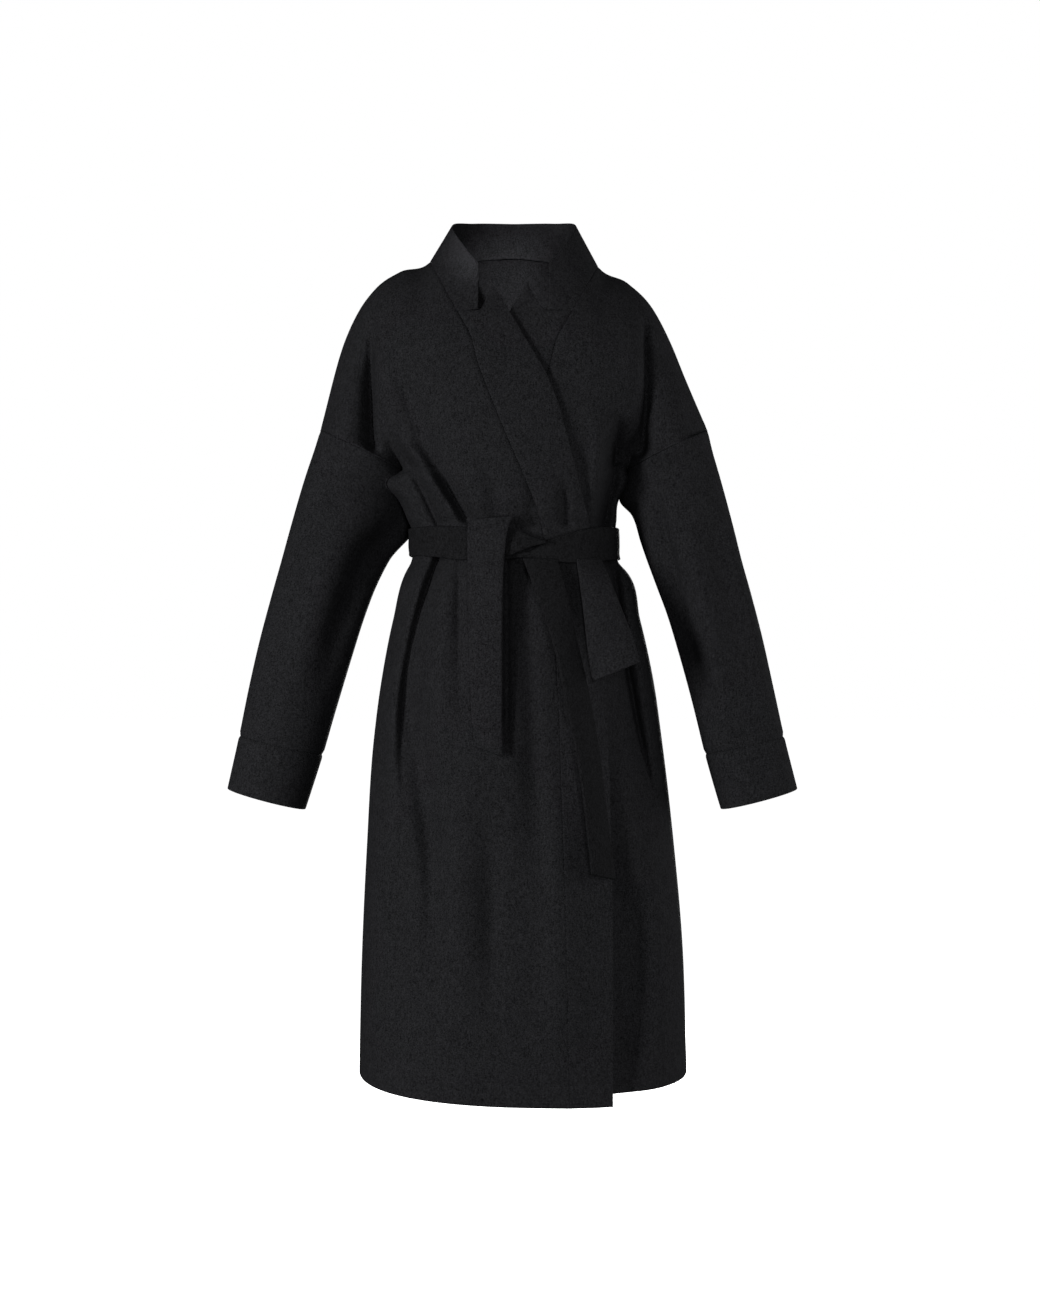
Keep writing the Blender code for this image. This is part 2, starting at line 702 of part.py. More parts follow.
def collar():
    """The stand collar, leaning in as it rises, open between its front ends."""
    turn = np.linspace(-1, 1, COLLAR_COLUMNS + 1)
    t = np.abs(turn)
    side = np.sign(turn)
    base_x, base_z = collar_base(t, side)
    behind = t < BACK_SHARE
    base_y = np.where(behind, back_depth(base_x, base_z), -over_depth(base_x, base_z))
    base = np.stack([base_x - side * COLLAR_RISE, base_y, base_z + COLLAR_RISE], axis=1)
    along = column(COLLAR_TOP, "along", 1)
    top = np.stack([curve(along, column(COLLAR_TOP, axis), t) for axis in ("x", "y", "z")], axis=1)
    top[:, 0] *= side
    rise = np.linspace(1, 0, COLLAR_ROWS + 1)[:, None, None]
    outer = base[None] * (1 - rise) + top[None] * rise
    return wall_mesh("collar", outer, CLOTH, WOOL_COLOUR)


def sleeve_net(side, along, sides, inset=0.0):
    """Rings of a sleeve at the given places along it."""
    places = column(SLEEVE, "along", 1)
    x, y, z, width, depth = (
        curve(places, column(SLEEVE, name), along)[:, None] for name in ("x", "y", "z", "width", "depth")
    )
    tilt = np.radians(curve(places, column(SLEEVE, "tilt", 1), along))[:, None]
    behind = 0.0
    if side < 0:
        more_out = curve(places, column(SLEEVE, "left_out"), along)[:, None]
        more_in = curve(places, column(SLEEVE, "left_in"), along)[:, None]
        x = x + (more_out - more_in) / 2
        width = width + (more_out + more_in) / 2
        behind = curve(places, column(SLEEVE, "left_behind"), along)[:, None]
    turn = np.linspace(0, 2 * math.pi, sides, endpoint=False)[None, :]
    swell = np.zeros_like(along[:, None] + turn)
    for fold in SLEEVE_FOLDS:
        t = (along[:, None] - fold.start) / (fold.end - fold.start)
        away = np.angle(np.exp(1j * (turn - math.radians(fold.turn))))
        strength = ease(t / FOLD_RISE) * ease((1 - t) / FOLD_FALL)
        swell += fold.height * MM * strength * np.exp(-(away / math.radians(fold.width)) ** 2)
    out = (width + swell - inset) * np.cos(turn)
    return np.stack([
        side * (x + out * np.cos(tilt)),
        y + (depth + swell - inset) * np.sin(turn) + behind * (1 - np.cos(turn)) / 2,
        z + out * np.sin(tilt),
    ], axis=2)


def sleeve_tube(name, side, start, end, rows):
    """A stretch of sleeve or cuff as an open tube."""
    along = np.linspace(start, end, rows + 1)
    outer = sleeve_net(side, along, SLEEVE_SIDES)
    inner = sleeve_net(side, along, SLEEVE_SIDES, CLOTH)
    return wall_mesh(name, outer, CLOTH, WOOL_COLOUR, closed=True, inner=inner)


def belt_waist():
    """The belt round the waist, on the coat's face moved out."""
    angle = np.linspace(-math.pi, math.pi, BELT_COLUMNS, endpoint=False)
    levels = np.array([z * MM for z in LOWER_ROWS_Z if BELT_BOTTOM_Z <= z * MM <= BELT_TOP_Z])
    turn, z = np.meshgrid(angle, levels)
    front = np.cos(turn) > 0
    x = x_at(np.arcsin(np.sin(turn)), z)
    y = np.where(front, -over_depth(x, z), back_depth(x, z))
    face = np.stack([x, y, z], axis=2)
    out = outward(face, surface_normals(face, True))
    out[:, :, 2] = 0
    out /= np.linalg.norm(out, axis=2, keepdims=True)
    inner = face + BELT_CLEARANCE * out
    outer = face + (BELT_CLEARANCE + BELT_CLOTH) * out
    return wall_mesh("belt_waist", outer, BELT_CLOTH, BELT_COLOUR, closed=True, inner=inner)


def belt_ribbon(name, steps):
    """A flat stretch of belt that lies on the over front, moved out from its points."""
    place = np.linspace(0, 1, len(steps))
    t = np.linspace(0, 1, RIBBON_STEPS + 1)
    share = np.linspace(0, 1, RIBBON_COLUMNS + 1)[None, :]
    edges = {key: curve(place, column(steps, key), t)[:, None] for key in Step._fields}
    x = edges["x_left"] * (1 - share) + edges["x_right"] * share
    z = edges["z_left"] * (1 - share) + edges["z_right"] * share
    out = edges["out_left"] * (1 - share) + edges["out_right"] * share
    outer = np.stack([x, -over_depth(x, z) - out, z], axis=2)
    return wall_mesh(name, outer, BELT_CLOTH, BELT_COLOUR)


def build():
    for item in list(bpy.data.objects):
        bpy.data.objects.remove(item, do_unlink=True)
    back_panel()
    front_panel("front_over", -1, over_depth)
    front_panel("front_under", 1, under_depth)
    front_band("band_over", -1, over_depth)
    front_band("band_under", 1, under_depth)
    collar()
    seam = SEAM_GAP / SLEEVE_LENGTH
    for name, side in (("left", -1), ("right", 1)):
        sleeve_tube("sleeve_" + name, side, seam, CUFF_SEAM - seam, SLEEVE_ROWS)
        sleeve_tube("cuff_" + name, side, CUFF_SEAM, 1, CUFF_ROWS)
    belt_waist()
    belt_ribbon("belt_knot", BELT_KNOT)
    belt_ribbon("belt_loop", BELT_LOOP)
    belt_ribbon("belt_end_short", BELT_END_SHORT)
    belt_ribbon("belt_end_long", BELT_END_LONG)


build()
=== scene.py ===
"""Looks of a belted wrap coat in black felted wool, hollow and filled out as if worn.

Every panel is rebuilt as a thin cloth wall on the form of its solid, with its folds given in
millimetres of the front view. The front faces -Y and +X is the viewer's right.
"""

import math
from collections import namedtuple

import bpy
import numpy as np
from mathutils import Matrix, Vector


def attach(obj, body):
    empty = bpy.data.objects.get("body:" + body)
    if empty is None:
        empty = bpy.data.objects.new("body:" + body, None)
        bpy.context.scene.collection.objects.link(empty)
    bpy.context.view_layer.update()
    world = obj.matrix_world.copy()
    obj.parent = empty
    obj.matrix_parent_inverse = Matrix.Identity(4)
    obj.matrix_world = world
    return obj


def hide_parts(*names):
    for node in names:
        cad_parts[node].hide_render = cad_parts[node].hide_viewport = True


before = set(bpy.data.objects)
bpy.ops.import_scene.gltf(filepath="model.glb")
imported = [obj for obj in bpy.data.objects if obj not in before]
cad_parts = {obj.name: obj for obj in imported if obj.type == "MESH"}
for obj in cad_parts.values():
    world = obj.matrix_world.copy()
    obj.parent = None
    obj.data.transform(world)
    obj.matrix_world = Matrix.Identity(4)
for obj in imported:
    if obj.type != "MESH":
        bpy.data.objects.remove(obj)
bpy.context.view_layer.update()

MM = 0.001

# Sides of the coat as the viewer sees them; the over front is the left one
LEFT = -1
RIGHT = 1

# Cloth thickness, seams and the wrap of the over front on the under front
CLOTH = 2.4 * MM
BELT_CLOTH = 3.8 * MM
SEAM_LAP = 1.0 * MM
SEAM_SET = SEAM_LAP / 4
SEAM_DIP = 1.8 * MM
SEAM_DIP_WIDTH = 2.6 * MM
ARM_DIP = 0.4
SEAM_EASE = 0.9
SEAM_EASE_LEVELS = (-330 * MM, -400 * MM)
RIM_STEPS = 3
RIM_DRAW = 4
WRAP_DEPTH = 6.0 * MM
WRAP_FADE = (12 * MM, 60 * MM)
WRAP_SINK = 0.11
WRAP_PLAIN = 60 * MM
EDGE_LIFT = 4 * MM
EDGE_LIFT_WIDTH = 42 * MM
EDGE_LIFT_LEVELS = (-600 * MM, -820 * MM)
STEEPEST_SLOPE = 2.0
SLOPE_STEP = 0.5 * MM
UNDER_SHIFT = 24 * MM
UNDER_SHIFT_LEVELS = (-200 * MM, -360 * MM)
UNDER_NECK_SHIFT = 11 * MM
UNDER_NECK_FADE = 90 * MM

# Levels of underarm and hem, and the stitch line along the hem
UNDERARM_Z = -272 * MM
HEM_Z = -1059 * MM
SIDE_HEM_RISE = 11 * MM
SIDE_HEM_POWER = 3
HEM_DIP = {LEFT: 13 * MM, RIGHT: 0.0}
HEM_FADE_POWER = 4
HEM_ZONE = 34 * MM
HEM_STITCH = 27 * MM
HEM_STITCH_WIDTH = 1.8 * MM
HEM_STITCH_DEPTH = 0.7 * MM

# Shoulders, neck and arms
NECK_HALF_WIDTH = 109 * MM
BACK_NECK_Z = 17 * MM
NECK_CURVE = 1.3
NECK_BOW = 0.3
SHOULDER_ROUND = 140 * MM
SHOULDER_LEVEL = 0.02 * MM
SECTION_SQUARENESS = 2.2
SIDE_FADE_POWER = 10
ARM_FADE = 16 * MM
ARM_BLEND = 5
ARM_FULLER = 0.04
ARM_FULLER_RISE = 14 * MM
RING_X = 199 * MM
RING_Z = -246 * MM
RING_HALF_WIDTH = 59 * MM
RING_HALF_DEPTH = 56 * MM
RING_TILT = math.radians(26)
ARM_LEAN = math.radians(14.7)
OUTER_ARM_X = RING_X + RING_HALF_WIDTH * math.cos(RING_TILT)

# Collar and the peaks of the front bands under it
BACK_SHARE = 0.5
NOTCH_SHARE = 5 / 6
COLLAR_FRONT_Z = -75.5 * MM
COLLAR_END_Z = -73.5 * MM
COLLAR_END_ACROSS = 44 * MM
COLLAR_LAP = 0.6 * MM
COLLAR_BACK_LAP = 2.6 * MM
PEAK_RISE = {LEFT: 41 * MM, RIGHT: 38 * MM}
PEAK_START = 0.44
PEAK_FADE = 45 * MM

# Mesh density
NECK_SHARE = 0.4
UPPER_ROWS = 66
UPPER_CROWDING = 1.5
LOWER_ROWS = 164
HEM_ROWS = 22
FRONT_COLUMNS = 144
BACK_COLUMNS = 190
BAND_COLUMNS = 26
SLEEVE_SIDES = 120
SLEEVE_ROWS = 120
CUFF_ROWS = 26
COLLAR_COLUMNS = 168
COLLAR_ROWS = 28
BELT_COLUMNS = 260
BELT_ROWS = 14
RIBBON_STEPS = 110
RIBBON_COLUMNS = 16
SEAM_STEPS = 400

# Half widths to the viewer's left and right, and depths to front and back, in mm
Section = namedtuple("Section", "z left right front back")
TORSO = (
    Section(60, 235, 230, 70, 84),
    Section(0, 232, 226, 79, 92),
    Section(-50, 226, 220, 91, 100),
    Section(-100, 214, 208, 103, 104),
    Section(-160, 195, 190, 114, 105),
    Section(-220, 172, 168, 119, 103),
    Section(-262, 150, 150, 119, 99),
    Section(-272, 146, 146, 119, 98),
    Section(-281, 160, 149, 119, 97),
    Section(-290, 165, 147, 118, 95),
    Section(-310, 150, 136, 116, 92),
    Section(-338, 137, 133, 107, 86),
    Section(-347, 133, 132, 102, 83),
    Section(-354, 132, 132, 101, 82),
    Section(-369, 132, 132, 100, 82),
    Section(-384, 132, 133, 101, 82),
    Section(-391, 134, 136, 102, 83),
    Section(-402, 140, 146, 107, 88),
    Section(-465, 157, 164, 121, 106),
    Section(-543, 172, 181, 131, 119),
    Section(-620, 182, 192, 136, 125),
    Section(-760, 191, 208, 141, 130),
    Section(-890, 197, 219, 145, 134),
    Section(-1010, 200, 223, 148, 137),
    Section(-1080, 201, 225, 150, 139),
)

# Height of the shoulder line, in mm; inside the neck it runs on as a plain slope, and its last row
# is the top of the armhole
Shoulder = namedtuple("Shoulder", "across left right")
SHOULDER_LINE = (
    Shoulder(0, 60, 60),
    Shoulder(60, 40, 40),
    Shoulder(95, 18, 15),
    Shoulder(109, 0, -6),
    Shoulder(148, -13, -28),
    Shoulder(181, -36, -62),
    Shoulder(204, -68, -106),
    Shoulder(222, -108, -150),
    Shoulder(252.03, -220.14, -220.14),
)

# Front band: its seam and its free edge, measured across from the middle, in mm
BandLine = namedtuple("BandLine", "z across")
BAND_SEAM = (
    BandLine(0, 109),
    BandLine(-55, 82),
    BandLine(-82, 68),
    BandLine(-104, 56),
    BandLine(-143, 45),
    BandLine(-186, 29),
    BandLine(-233, 10),
    BandLine(-277, -9),
    BandLine(-345, -34),
    BandLine(-400, -42),
    BandLine(-760, -62),
    BandLine(-1080, -70),
)
BAND_EDGE = (
    BandLine(-30, 32),
    BandLine(-38, 28),
    BandLine(-79, 4),
    BandLine(-119, -19),
    BandLine(-149, -37),
    BandLine(-186, -53),
    BandLine(-223, -64),
    BandLine(-280, -79),
    BandLine(-345, -96),
    BandLine(-420, -106),
    BandLine(-789, -123),
    BandLine(-1080, -124),
)

# Upper edge of the collar, from the middle of the back to the front end, in mm
CollarTop = namedtuple("CollarTop", "along x y z")
COLLAR_TOP = (
    CollarTop(0.0, 0, 62, 61),
    CollarTop(0.3, 54, 46, 59),
    CollarTop(0.5, 79, 6, 51),
    CollarTop(0.8, 65, -56, 13),
    CollarTop(1.0, 46, -80, -14),
)

# Sleeve rings: middle, half width, half depth and tilt in mm and degrees
SleeveRing = namedtuple("SleeveRing", "along x y z width depth tilt")
SLEEVE = (
    SleeveRing(-0.01, 197.8, 0, -241.4, 59, 56, 26),
    SleeveRing(0.00, 199, 0, -246.5, 59, 56, 26),
    SleeveRing(0.06, 206, 0, -277, 59, 56, 25),
    SleeveRing(0.12, 213, -1, -306, 60, 56, 22),
    SleeveRing(0.25, 228, -2, -368, 61, 55, 17),
    SleeveRing(0.33, 238, -4, -405, 60, 54, 16),
    SleeveRing(0.41, 249, -6, -441, 59, 53, 15),
    SleeveRing(0.52, 263, -8, -491, 58, 52, 15),
    SleeveRing(0.70, 283, -14, -569, 55, 49, 14),
    SleeveRing(0.84, 297, -19, -626, 53, 47, 13),
    SleeveRing(1.00, 316, -25, -696, 51, 45, 15),
)

# How much fuller each sleeve is outside and inside, and how far back its inside hangs, in mm
Fullness = namedtuple("Fullness", "along outside inside behind")
SLEEVE_FULLNESS = {
    LEFT: (
        Fullness(0.00, 0, 0, 0),
        Fullness(0.03, 1, 11, 13),
        Fullness(0.06, 2, 20, 26),
        Fullness(0.12, 3, 32, 34),
        Fullness(0.25, 5, 7, 20),
        Fullness(0.33, 6, 1, 7),
        Fullness(0.41, 6, 0, 0),
        Fullness(0.70, 7, -1, 0),
        Fullness(0.84, 6, -1, 0),
        Fullness(1.00, 4, -2, 0),
    ),
    RIGHT: (
        Fullness(0.00, 0, 0, 0),
        Fullness(0.03, 0, 8, 8),
        Fullness(0.06, 0, 16, 16),
        Fullness(0.12, 0, 4, 4),
        Fullness(0.20, 0, 0, 0),
        Fullness(1.00, 0, 0, 0),
    ),
}

# Place of the cuff's seam along the sleeve, and the length of sleeve and cuff together
CUFF_SEAM = 0.84
SLEEVE_LENGTH = 463 * MM

# Folds: three points of a line down the front view, half widths to its left and right at the upper
# end, how many times as wide it is at the lower end, height (a trough is negative), and the shares
# of its length over which it fades in and out, in mm; a crease is sharp at its bottom
CREASE_ROUND = 2 * MM
FOLD_FIELDS = "x1 z1 x2 z2 x3 z3 left right widen height fade_in fade_out crease"
Fold = namedtuple("Fold", FOLD_FIELDS, defaults=(False,))
FRONT_FOLDS = (
    Fold(-181, -62, -184, -170, -179, -296, 9, 5, 1.0, -30, 0.35, 0.08, True),
    Fold(-156, -70, -118, -226, -57, -346, 17, 24, 0.60, -13, 0.50, 0.04),
    Fold(-112, -235, -88, -290, -56, -347, 7, 10, 1.0, -12, 0.70, 0.03, True),
    Fold(-160, -213, -113, -275, -66, -343, 12, 11, 1.0, 9, 0.30, 0.10),
    Fold(-148, -240, -121, -292, -95, -348, 8, 7, 1.0, -20, 0.40, 0.03, True),
    Fold(-160, -254, -150, -272, -140, -310, 6, 6, 1.0, -16, 0.30, 0.30, True),
    Fold(-90, -312, -85, -330, -80, -348, 5, 5, 1.0, -5, 0.50, 0.05),
    Fold(-34, -250, -28, -296, -20, -347, 11, 11, 1.0, -6, 0.60, 0.06),
    Fold(18, -270, 22, -306, 24, -350, 9, 9, 1.0, -5, 0.60, 0.06),
    Fold(61, -280, 65, -312, 66, -348, 9, 7, 1.0, -9, 0.50, 0.04),
    Fold(165, -58, 169, -165, 165, -268, 5, 7, 1.0, -21, 0.30, 0.08, True),
    Fold(130, -190, 131, -255, 116, -349, 10, 16, 1.1, -46, 0.40, 0.06, True),
    Fold(103, -200, 106, -280, 100, -348, 11, 9, 1.0, 14, 0.40, 0.08),
    Fold(-91, -374, -136, -530, -126, -750, 5, 11, 2.8, -26, 0.02, 0.60, True),
    Fold(-108, -392, -147, -560, -142, -800, 9, 8, 1.3, 8, 0.10, 0.50),
    Fold(-138, -500, -118, -655, -98, -830, 16, 24, 1.0, -19, 0.35, 0.45),
    Fold(-84, -392, -96, -540, -92, -760, 18, 16, 1.0, 6, 0.20, 0.60),
    Fold(-69, -376, -69, -480, -66, -620, 8, 7, 1.0, -9, 0.04, 0.70, True),
    Fold(-104, -640, -102, -780, -100, -990, 13, 14, 1.2, -9, 0.40, 0.50),
    Fold(-150, -740, -147, -840, -147, -1010, 12, 14, 1.0, -8, 0.40, 0.50),
    Fold(-78, -600, -70, -760, -64, -1030, 20, 24, 1.0, 8, 0.40, 0.50),
    Fold(-30, -690, -28, -810, -26, -1000, 15, 15, 1.0, -8, 0.40, 0.50),
    Fold(-10, -380, -9, -500, -9, -650, 4, 5, 1.0, -12, 0.03, 0.25, True),
    Fold(14, -384, 22, -580, 34, -830, 18, 14, 1.0, -8, 0.06, 0.45),
    Fold(50, -388, 56, -560, 60, -760, 46, 22, 1.0, -10, 0.05, 0.50),
    Fold(52, -640, 56, -800, 58, -1060, 18, 30, 1.2, 10, 0.40, 0.30),
    Fold(127, -378, 155, -580, 190, -745, 18, 6, 1.0, -30, 0.03, 0.40, True),
    Fold(132, -560, 142, -700, 158, -940, 18, 14, 1.0, 6, 0.30, 0.50),
    Fold(150, -760, 156, -870, 166, -1020, 14, 14, 1.0, -5, 0.40, 0.50),
)

# Fold of the under front alone
UNDER_FOLDS = (
    Fold(120, -660, 125, -860, 126, -1080, 24, 42, 1.0, -12, 0.40, 0.20),
)

# Folds of the back, in the same view
BACK_FOLDS = (
    Fold(-182, -80, -178, -170, -172, -264, 20, 9, 1.0, -24, 0.35, 0.30),
    Fold(180, -80, 177, -170, 172, -264, 9, 20, 1.0, -24, 0.35, 0.30),
    Fold(-122, -230, -108, -290, -94, -348, 10, 8, 1.0, -12, 0.50, 0.06),
    Fold(-60, -255, -52, -300, -44, -348, 12, 9, 1.0, 7, 0.60, 0.06),
    Fold(-26, -280, -20, -315, -16, -348, 7, 7, 1.0, -6, 0.60, 0.06),
    Fold(24, -262, 20, -305, 16, -348, 9, 8, 1.0, -7, 0.60, 0.06),
    Fold(72, -245, 62, -300, 54, -348, 9, 12, 1.0, 7, 0.60, 0.06),
    Fold(124, -235, 112, -290, 100, -348, 8, 10, 1.0, -12, 0.50, 0.06),
    Fold(-104, -388, -134, -600, -148, -860, 13, 17, 1.0, -20, 0.10, 0.50),
    Fold(-60, -388, -72, -580, -80, -800, 18, 18, 1.0, 9, 0.15, 0.60),
    Fold(-20, -388, -22, -600, -26, -860, 10, 15, 1.0, -11, 0.10, 0.50),
    Fold(30, -388, 38, -640, 46, -940, 20, 18, 1.0, 9, 0.15, 0.50),
    Fold(78, -388, 96, -590, 112, -820, 15, 11, 1.0, -15, 0.10, 0.50),
    Fold(122, -388, 148, -640, 168, -940, 15, 16, 1.0, 8, 0.15, 0.50),
)

# Sleeve folds: turn round the arm from outside by the back at both ends, ends along it, half width
# in degrees, height in mm; the front of the arm is at -90 degrees
SleeveFold = namedtuple("SleeveFold", "turn1 turn2 start end width height")
SLEEVE_FOLDS = {
    LEFT: (
        SleeveFold(-38, -46, 0.10, 0.80, 17, 2.5),
        SleeveFold(-62, -68, 0.10, 0.70, 13, -2.5),
        SleeveFold(-97, -88, 0.04, 0.82, 19, 4.0),
        SleeveFold(-142, -128, 0.02, 0.74, 24, -13.0),
        SleeveFold(60, 72, 0.04, 0.72, 17, -5.0),
        SleeveFold(112, 98, 0.10, 0.82, 20, 4.5),
        SleeveFold(146, 134, 0.03, 0.60, 14, -5.0),
    ),
    RIGHT: (
        SleeveFold(-30, -44, 0.15, 0.85, 15, 3.0),
        SleeveFold(-54, -76, 0.10, 0.82, 15, -4.5),
        SleeveFold(-84, -122, 0.12, 0.98, 13, 4.5),
        SleeveFold(-118, -136, 0.02, 0.42, 12, -9.0),
        SleeveFold(-138, -150, 0.06, 0.86, 22, -12.0),
        SleeveFold(62, 70, 0.05, 0.74, 17, -5.0),
        SleeveFold(110, 100, 0.10, 0.80, 20, 4.5),
        SleeveFold(148, 136, 0.03, 0.62, 14, -5.0),
    ),
}

# Shares of a sleeve fold's length over which it fades in and out
FOLD_RISE = 0.3
FOLD_FALL = 0.5

# Belt round the waist: its upper and lower edge across the front, in mm
BeltEdge = namedtuple("BeltEdge", "x top bottom")
BELT_EDGES = (
    BeltEdge(-140, -347, -382),
    BeltEdge(-100, -347, -386),
    BeltEdge(-58, -349, -391),
    BeltEdge(-20, -352, -391),
    BeltEdge(2, -370, -389),
    BeltEdge(12, -379, -388),
    BeltEdge(39, -367, -392),
    BeltEdge(77, -354, -394),
    BeltEdge(112, -347, -390),
    BeltEdge(140, -346, -386),
)
BELT_BACK = (-349 * MM, -387 * MM)
BELT_CLEARANCE = 0.8 * MM
BELT_PILLOW = 0.7 * MM
RIBBON_PILLOW = 2.0 * MM

# Belt pieces: both edges of each step down the piece, and how far they stand out, in mm
Step = namedtuple("Step", "x_left z_left out_left x_right z_right out_right")
BELT_KNOT = (
    Step(-48, -387, 10, -48, -348, 9),
    Step(-8, -386, 13, -8, -350, 10),
    Step(6, -381, 13, 6, -354, 10),
    Step(24, -375, 12, 24, -361, 10),
    Step(41, -371, 11, 41, -366, 10),
)
BELT_LOOP = (
    Step(-45, -338, 8, -6, -335, 12),
    Step(-55, -343, 14, -2, -339, 19),
    Step(-59, -353, 16, -8, -355, 22),
    Step(-59, -388, 15, -12, -390, 20),
    Step(-58, -440, 7, -14, -442, 13),
    Step(-56, -530, 5, -14, -532, 10),
    Step(-53, -590, 5, -14, -596, 9),
    Step(-50, -624, 5, -13, -636, 9),
)
BELT_END_SHORT = (
    Step(79, -388.4, 6.4, 112, -388.4, 7.6),
    Step(83, -425, 8, 124, -420, 22),
    Step(88, -470, 10, 138, -457, 40),
    Step(92, -510, 10, 150, -490, 56),
    Step(97, -544, 10, 158, -518, 68),
)
BELT_END_LONG = (
    Step(11, -388.4, 6, 55, -388.4, 6),
    Step(34, -450, 14, 70, -446, 9),
    Step(53, -510, 26, 84, -508, 11),
    Step(66, -570, 33, 97, -568, 12),
    Step(77, -625, 34, 107, -624, 12),
    Step(86, -680, 34, 114, -680, 12),
    Step(92, -735, 32, 121, -738, 12),
    Step(97, -781, 29, 128, -790, 11),
)

# Stitch line of the short end, up from its edge
END_STITCH = 12 * MM

# Stretches of belt whose wool is painted darker, as painted shade for the waist's recess and for
# faces turned from the light
SHADED_STRETCHES = ("belt_waist", "belt_knot", "belt_end_long")

# Cut of each piece before it was sewn: width, length and flat area in metres, then how it is held
# and what it rests on
Cut = namedtuple("Cut", "width length area held rests_on")

# Wool: darkest and lightest fibre of the coat, and of the belt's shaded stretches, which are
# painted darker as painted shade; then how fine its nap, its longer fibres and its cloudy patches
# are, and how much of each shows
COAT_DARK = (0.0014, 0.0014, 0.0016, 1.0)
COAT_LIGHT = (0.0106, 0.0107, 0.0117, 1.0)
# Painted shade: the belt's shaded stretches get the coat's wool made darker
SHADED_BELT_DARK = (0.0009, 0.0009, 0.0010, 1.0)
SHADED_BELT_LIGHT = (0.0068, 0.0069, 0.0075, 1.0)
DARK_AT = 0.36
LIGHT_AT = 0.64
NAP_SCALE = 560
NAP_DETAIL = 3
FIBRE_SCALE = 400
FIBRE_DETAIL = 4
FIBRE_STRETCH = (1.0, 1.0, 0.35)
CLOUD_SCALE = 60
CLOUD_DETAIL = 2
NOISE_ROUGHNESS = 0.6
FIBRE_SHARE = 0.3
CLOUD_SHARE = 0.08
WOOL_ROUGHNESS = 0.88
WOOL_SPECULAR = 0.03
WOOL_BUMP = 0.5
WOOL_BUMP_DEPTH = 0.5 * MM

# Room: camera, floor, surroundings and lights, in metres and watts
CAMERA_PLACE = (0.0078, -3.0, -0.504)
CAMERA_LENS = 63.9
FLOOR_Z = -1.5
FLOOR_SIZE = 60
FLOOR_COLOUR = (1.0, 1.0, 1.0, 1.0)
FLOOR_GLOW = 0.9
WORLD_COLOUR = (1.0, 1.0, 1.0, 1.0)
WORLD_SEEN = 1.0
WORLD_LIGHT = 0.14
LIGHT_TARGET = (0.0, 0.0, -0.55)
Lamp = namedtuple("Lamp", "name x y z width height power")
LAMPS = (
    Lamp("left_light", -2.45, -2.2, -0.35, 0.5, 1.5, 188),
    Lamp("front_light", 0.5, -3.3, -0.2, 0.5, 1.4, 60),
    Lamp("right_light", 3.1, -0.15, -0.45, 2.2, 2.0, 105),
    Lamp("back_light", 0.8, 3.2, -0.2, 0.8, 1.5, 90),
)
NECK_LIGHT_PLACE = (-0.22, -1.0, 0.3)
NECK_LIGHT_TARGET = (0.0, 0.07, -0.02)
NECK_LIGHT_ANGLE = math.radians(7.5)
NECK_LIGHT_POWER = 165
NECK_LIGHT_BLEND = 0.8
NECK_LIGHT_SIZE = 0.03


# Tables and curves

def column(table, name, scale=MM):
    """One named column of a table, as an array."""
    return np.array([getattr(row, name) for row in table]) * scale


def curve(knots, values, at):
    """Smooth curve through a table's values; flat beyond its ends."""
    order = np.argsort(knots)
    knots = knots[order]
    values = values[order]
    slopes = np.gradient(values, knots)
    at = np.clip(at, knots[0], knots[-1])
    i = np.clip(np.searchsorted(knots, at) - 1, 0, len(knots) - 2)
    step = knots[i + 1] - knots[i]
    t = (at - knots[i]) / step
    start = values[i] * (1 + 2 * t) * (1 - t) ** 2 + slopes[i] * step * t * (1 - t) ** 2
    end = values[i + 1] * (3 - 2 * t) * t ** 2 + slopes[i + 1] * step * (t - 1) * t ** 2
    return start + end


def ease(t):
    """0 to 1 with soft ends."""
    t = np.clip(t, 0, 1)
    return t * t * (3 - 2 * t)


# Form of the coat, as depths over its front view

def half_width(x, z):
    """Half width of the body at a level, on the side where x lies."""
    levels = column(TORSO, "z")
    left = curve(levels, column(TORSO, "left"), z)
    right = curve(levels, column(TORSO, "right"), z)
    return np.where(x < 0, left, right)


def shoulder_z(x):
    """Height of the shoulder line above a place."""
    across = column(SHOULDER_LINE, "across")
    left = curve(across, column(SHOULDER_LINE, "left"), np.abs(x))
    right = curve(across, column(SHOULDER_LINE, "right"), np.abs(x))
    return np.where(x < 0, left, right)


def neck_point_z(side):
    """Height of the neck point, where the shoulder seam starts."""
    return shoulder_z(np.array(side * NECK_HALF_WIDTH))


def fold_line(fold, z):
    """Place across of a fold's line at a level, on a bow through its three points."""
    z1 = fold.z1 * MM
    z2 = fold.z2 * MM
    z3 = fold.z3 * MM
    z = np.clip(z, z3, z1)
    first = fold.x1 * (z - z2) * (z - z3) / ((z1 - z2) * (z1 - z3))
    second = fold.x2 * (z - z1) * (z - z3) / ((z2 - z1) * (z2 - z3))
    third = fold.x3 * (z - z1) * (z - z2) / ((z3 - z1) * (z3 - z2))
    return (first + second + third) * MM


def fold_height(folds, x, z):
    """Sum of the folds that cross a place in the front view."""
    total = np.zeros_like(x + z)
    for fold in folds:
        t = (fold.z1 * MM - z) / ((fold.z1 - fold.z3) * MM)
        off = x - fold_line(fold, z)
        half = np.where(off < 0, fold.left, fold.right) * MM
        width = half * (1 + (fold.widen - 1) * np.clip(t, 0, 1))
        strength = ease(t / fold.fade_in) * ease((1 - t) / fold.fade_out)
        if fold.crease:
            shape = np.exp((CREASE_ROUND - np.hypot(off, CREASE_ROUND)) / width)
        else:
            shape = np.exp(-(off / width) ** 2)
        total = total + fold.height * MM * strength * shape
    return total


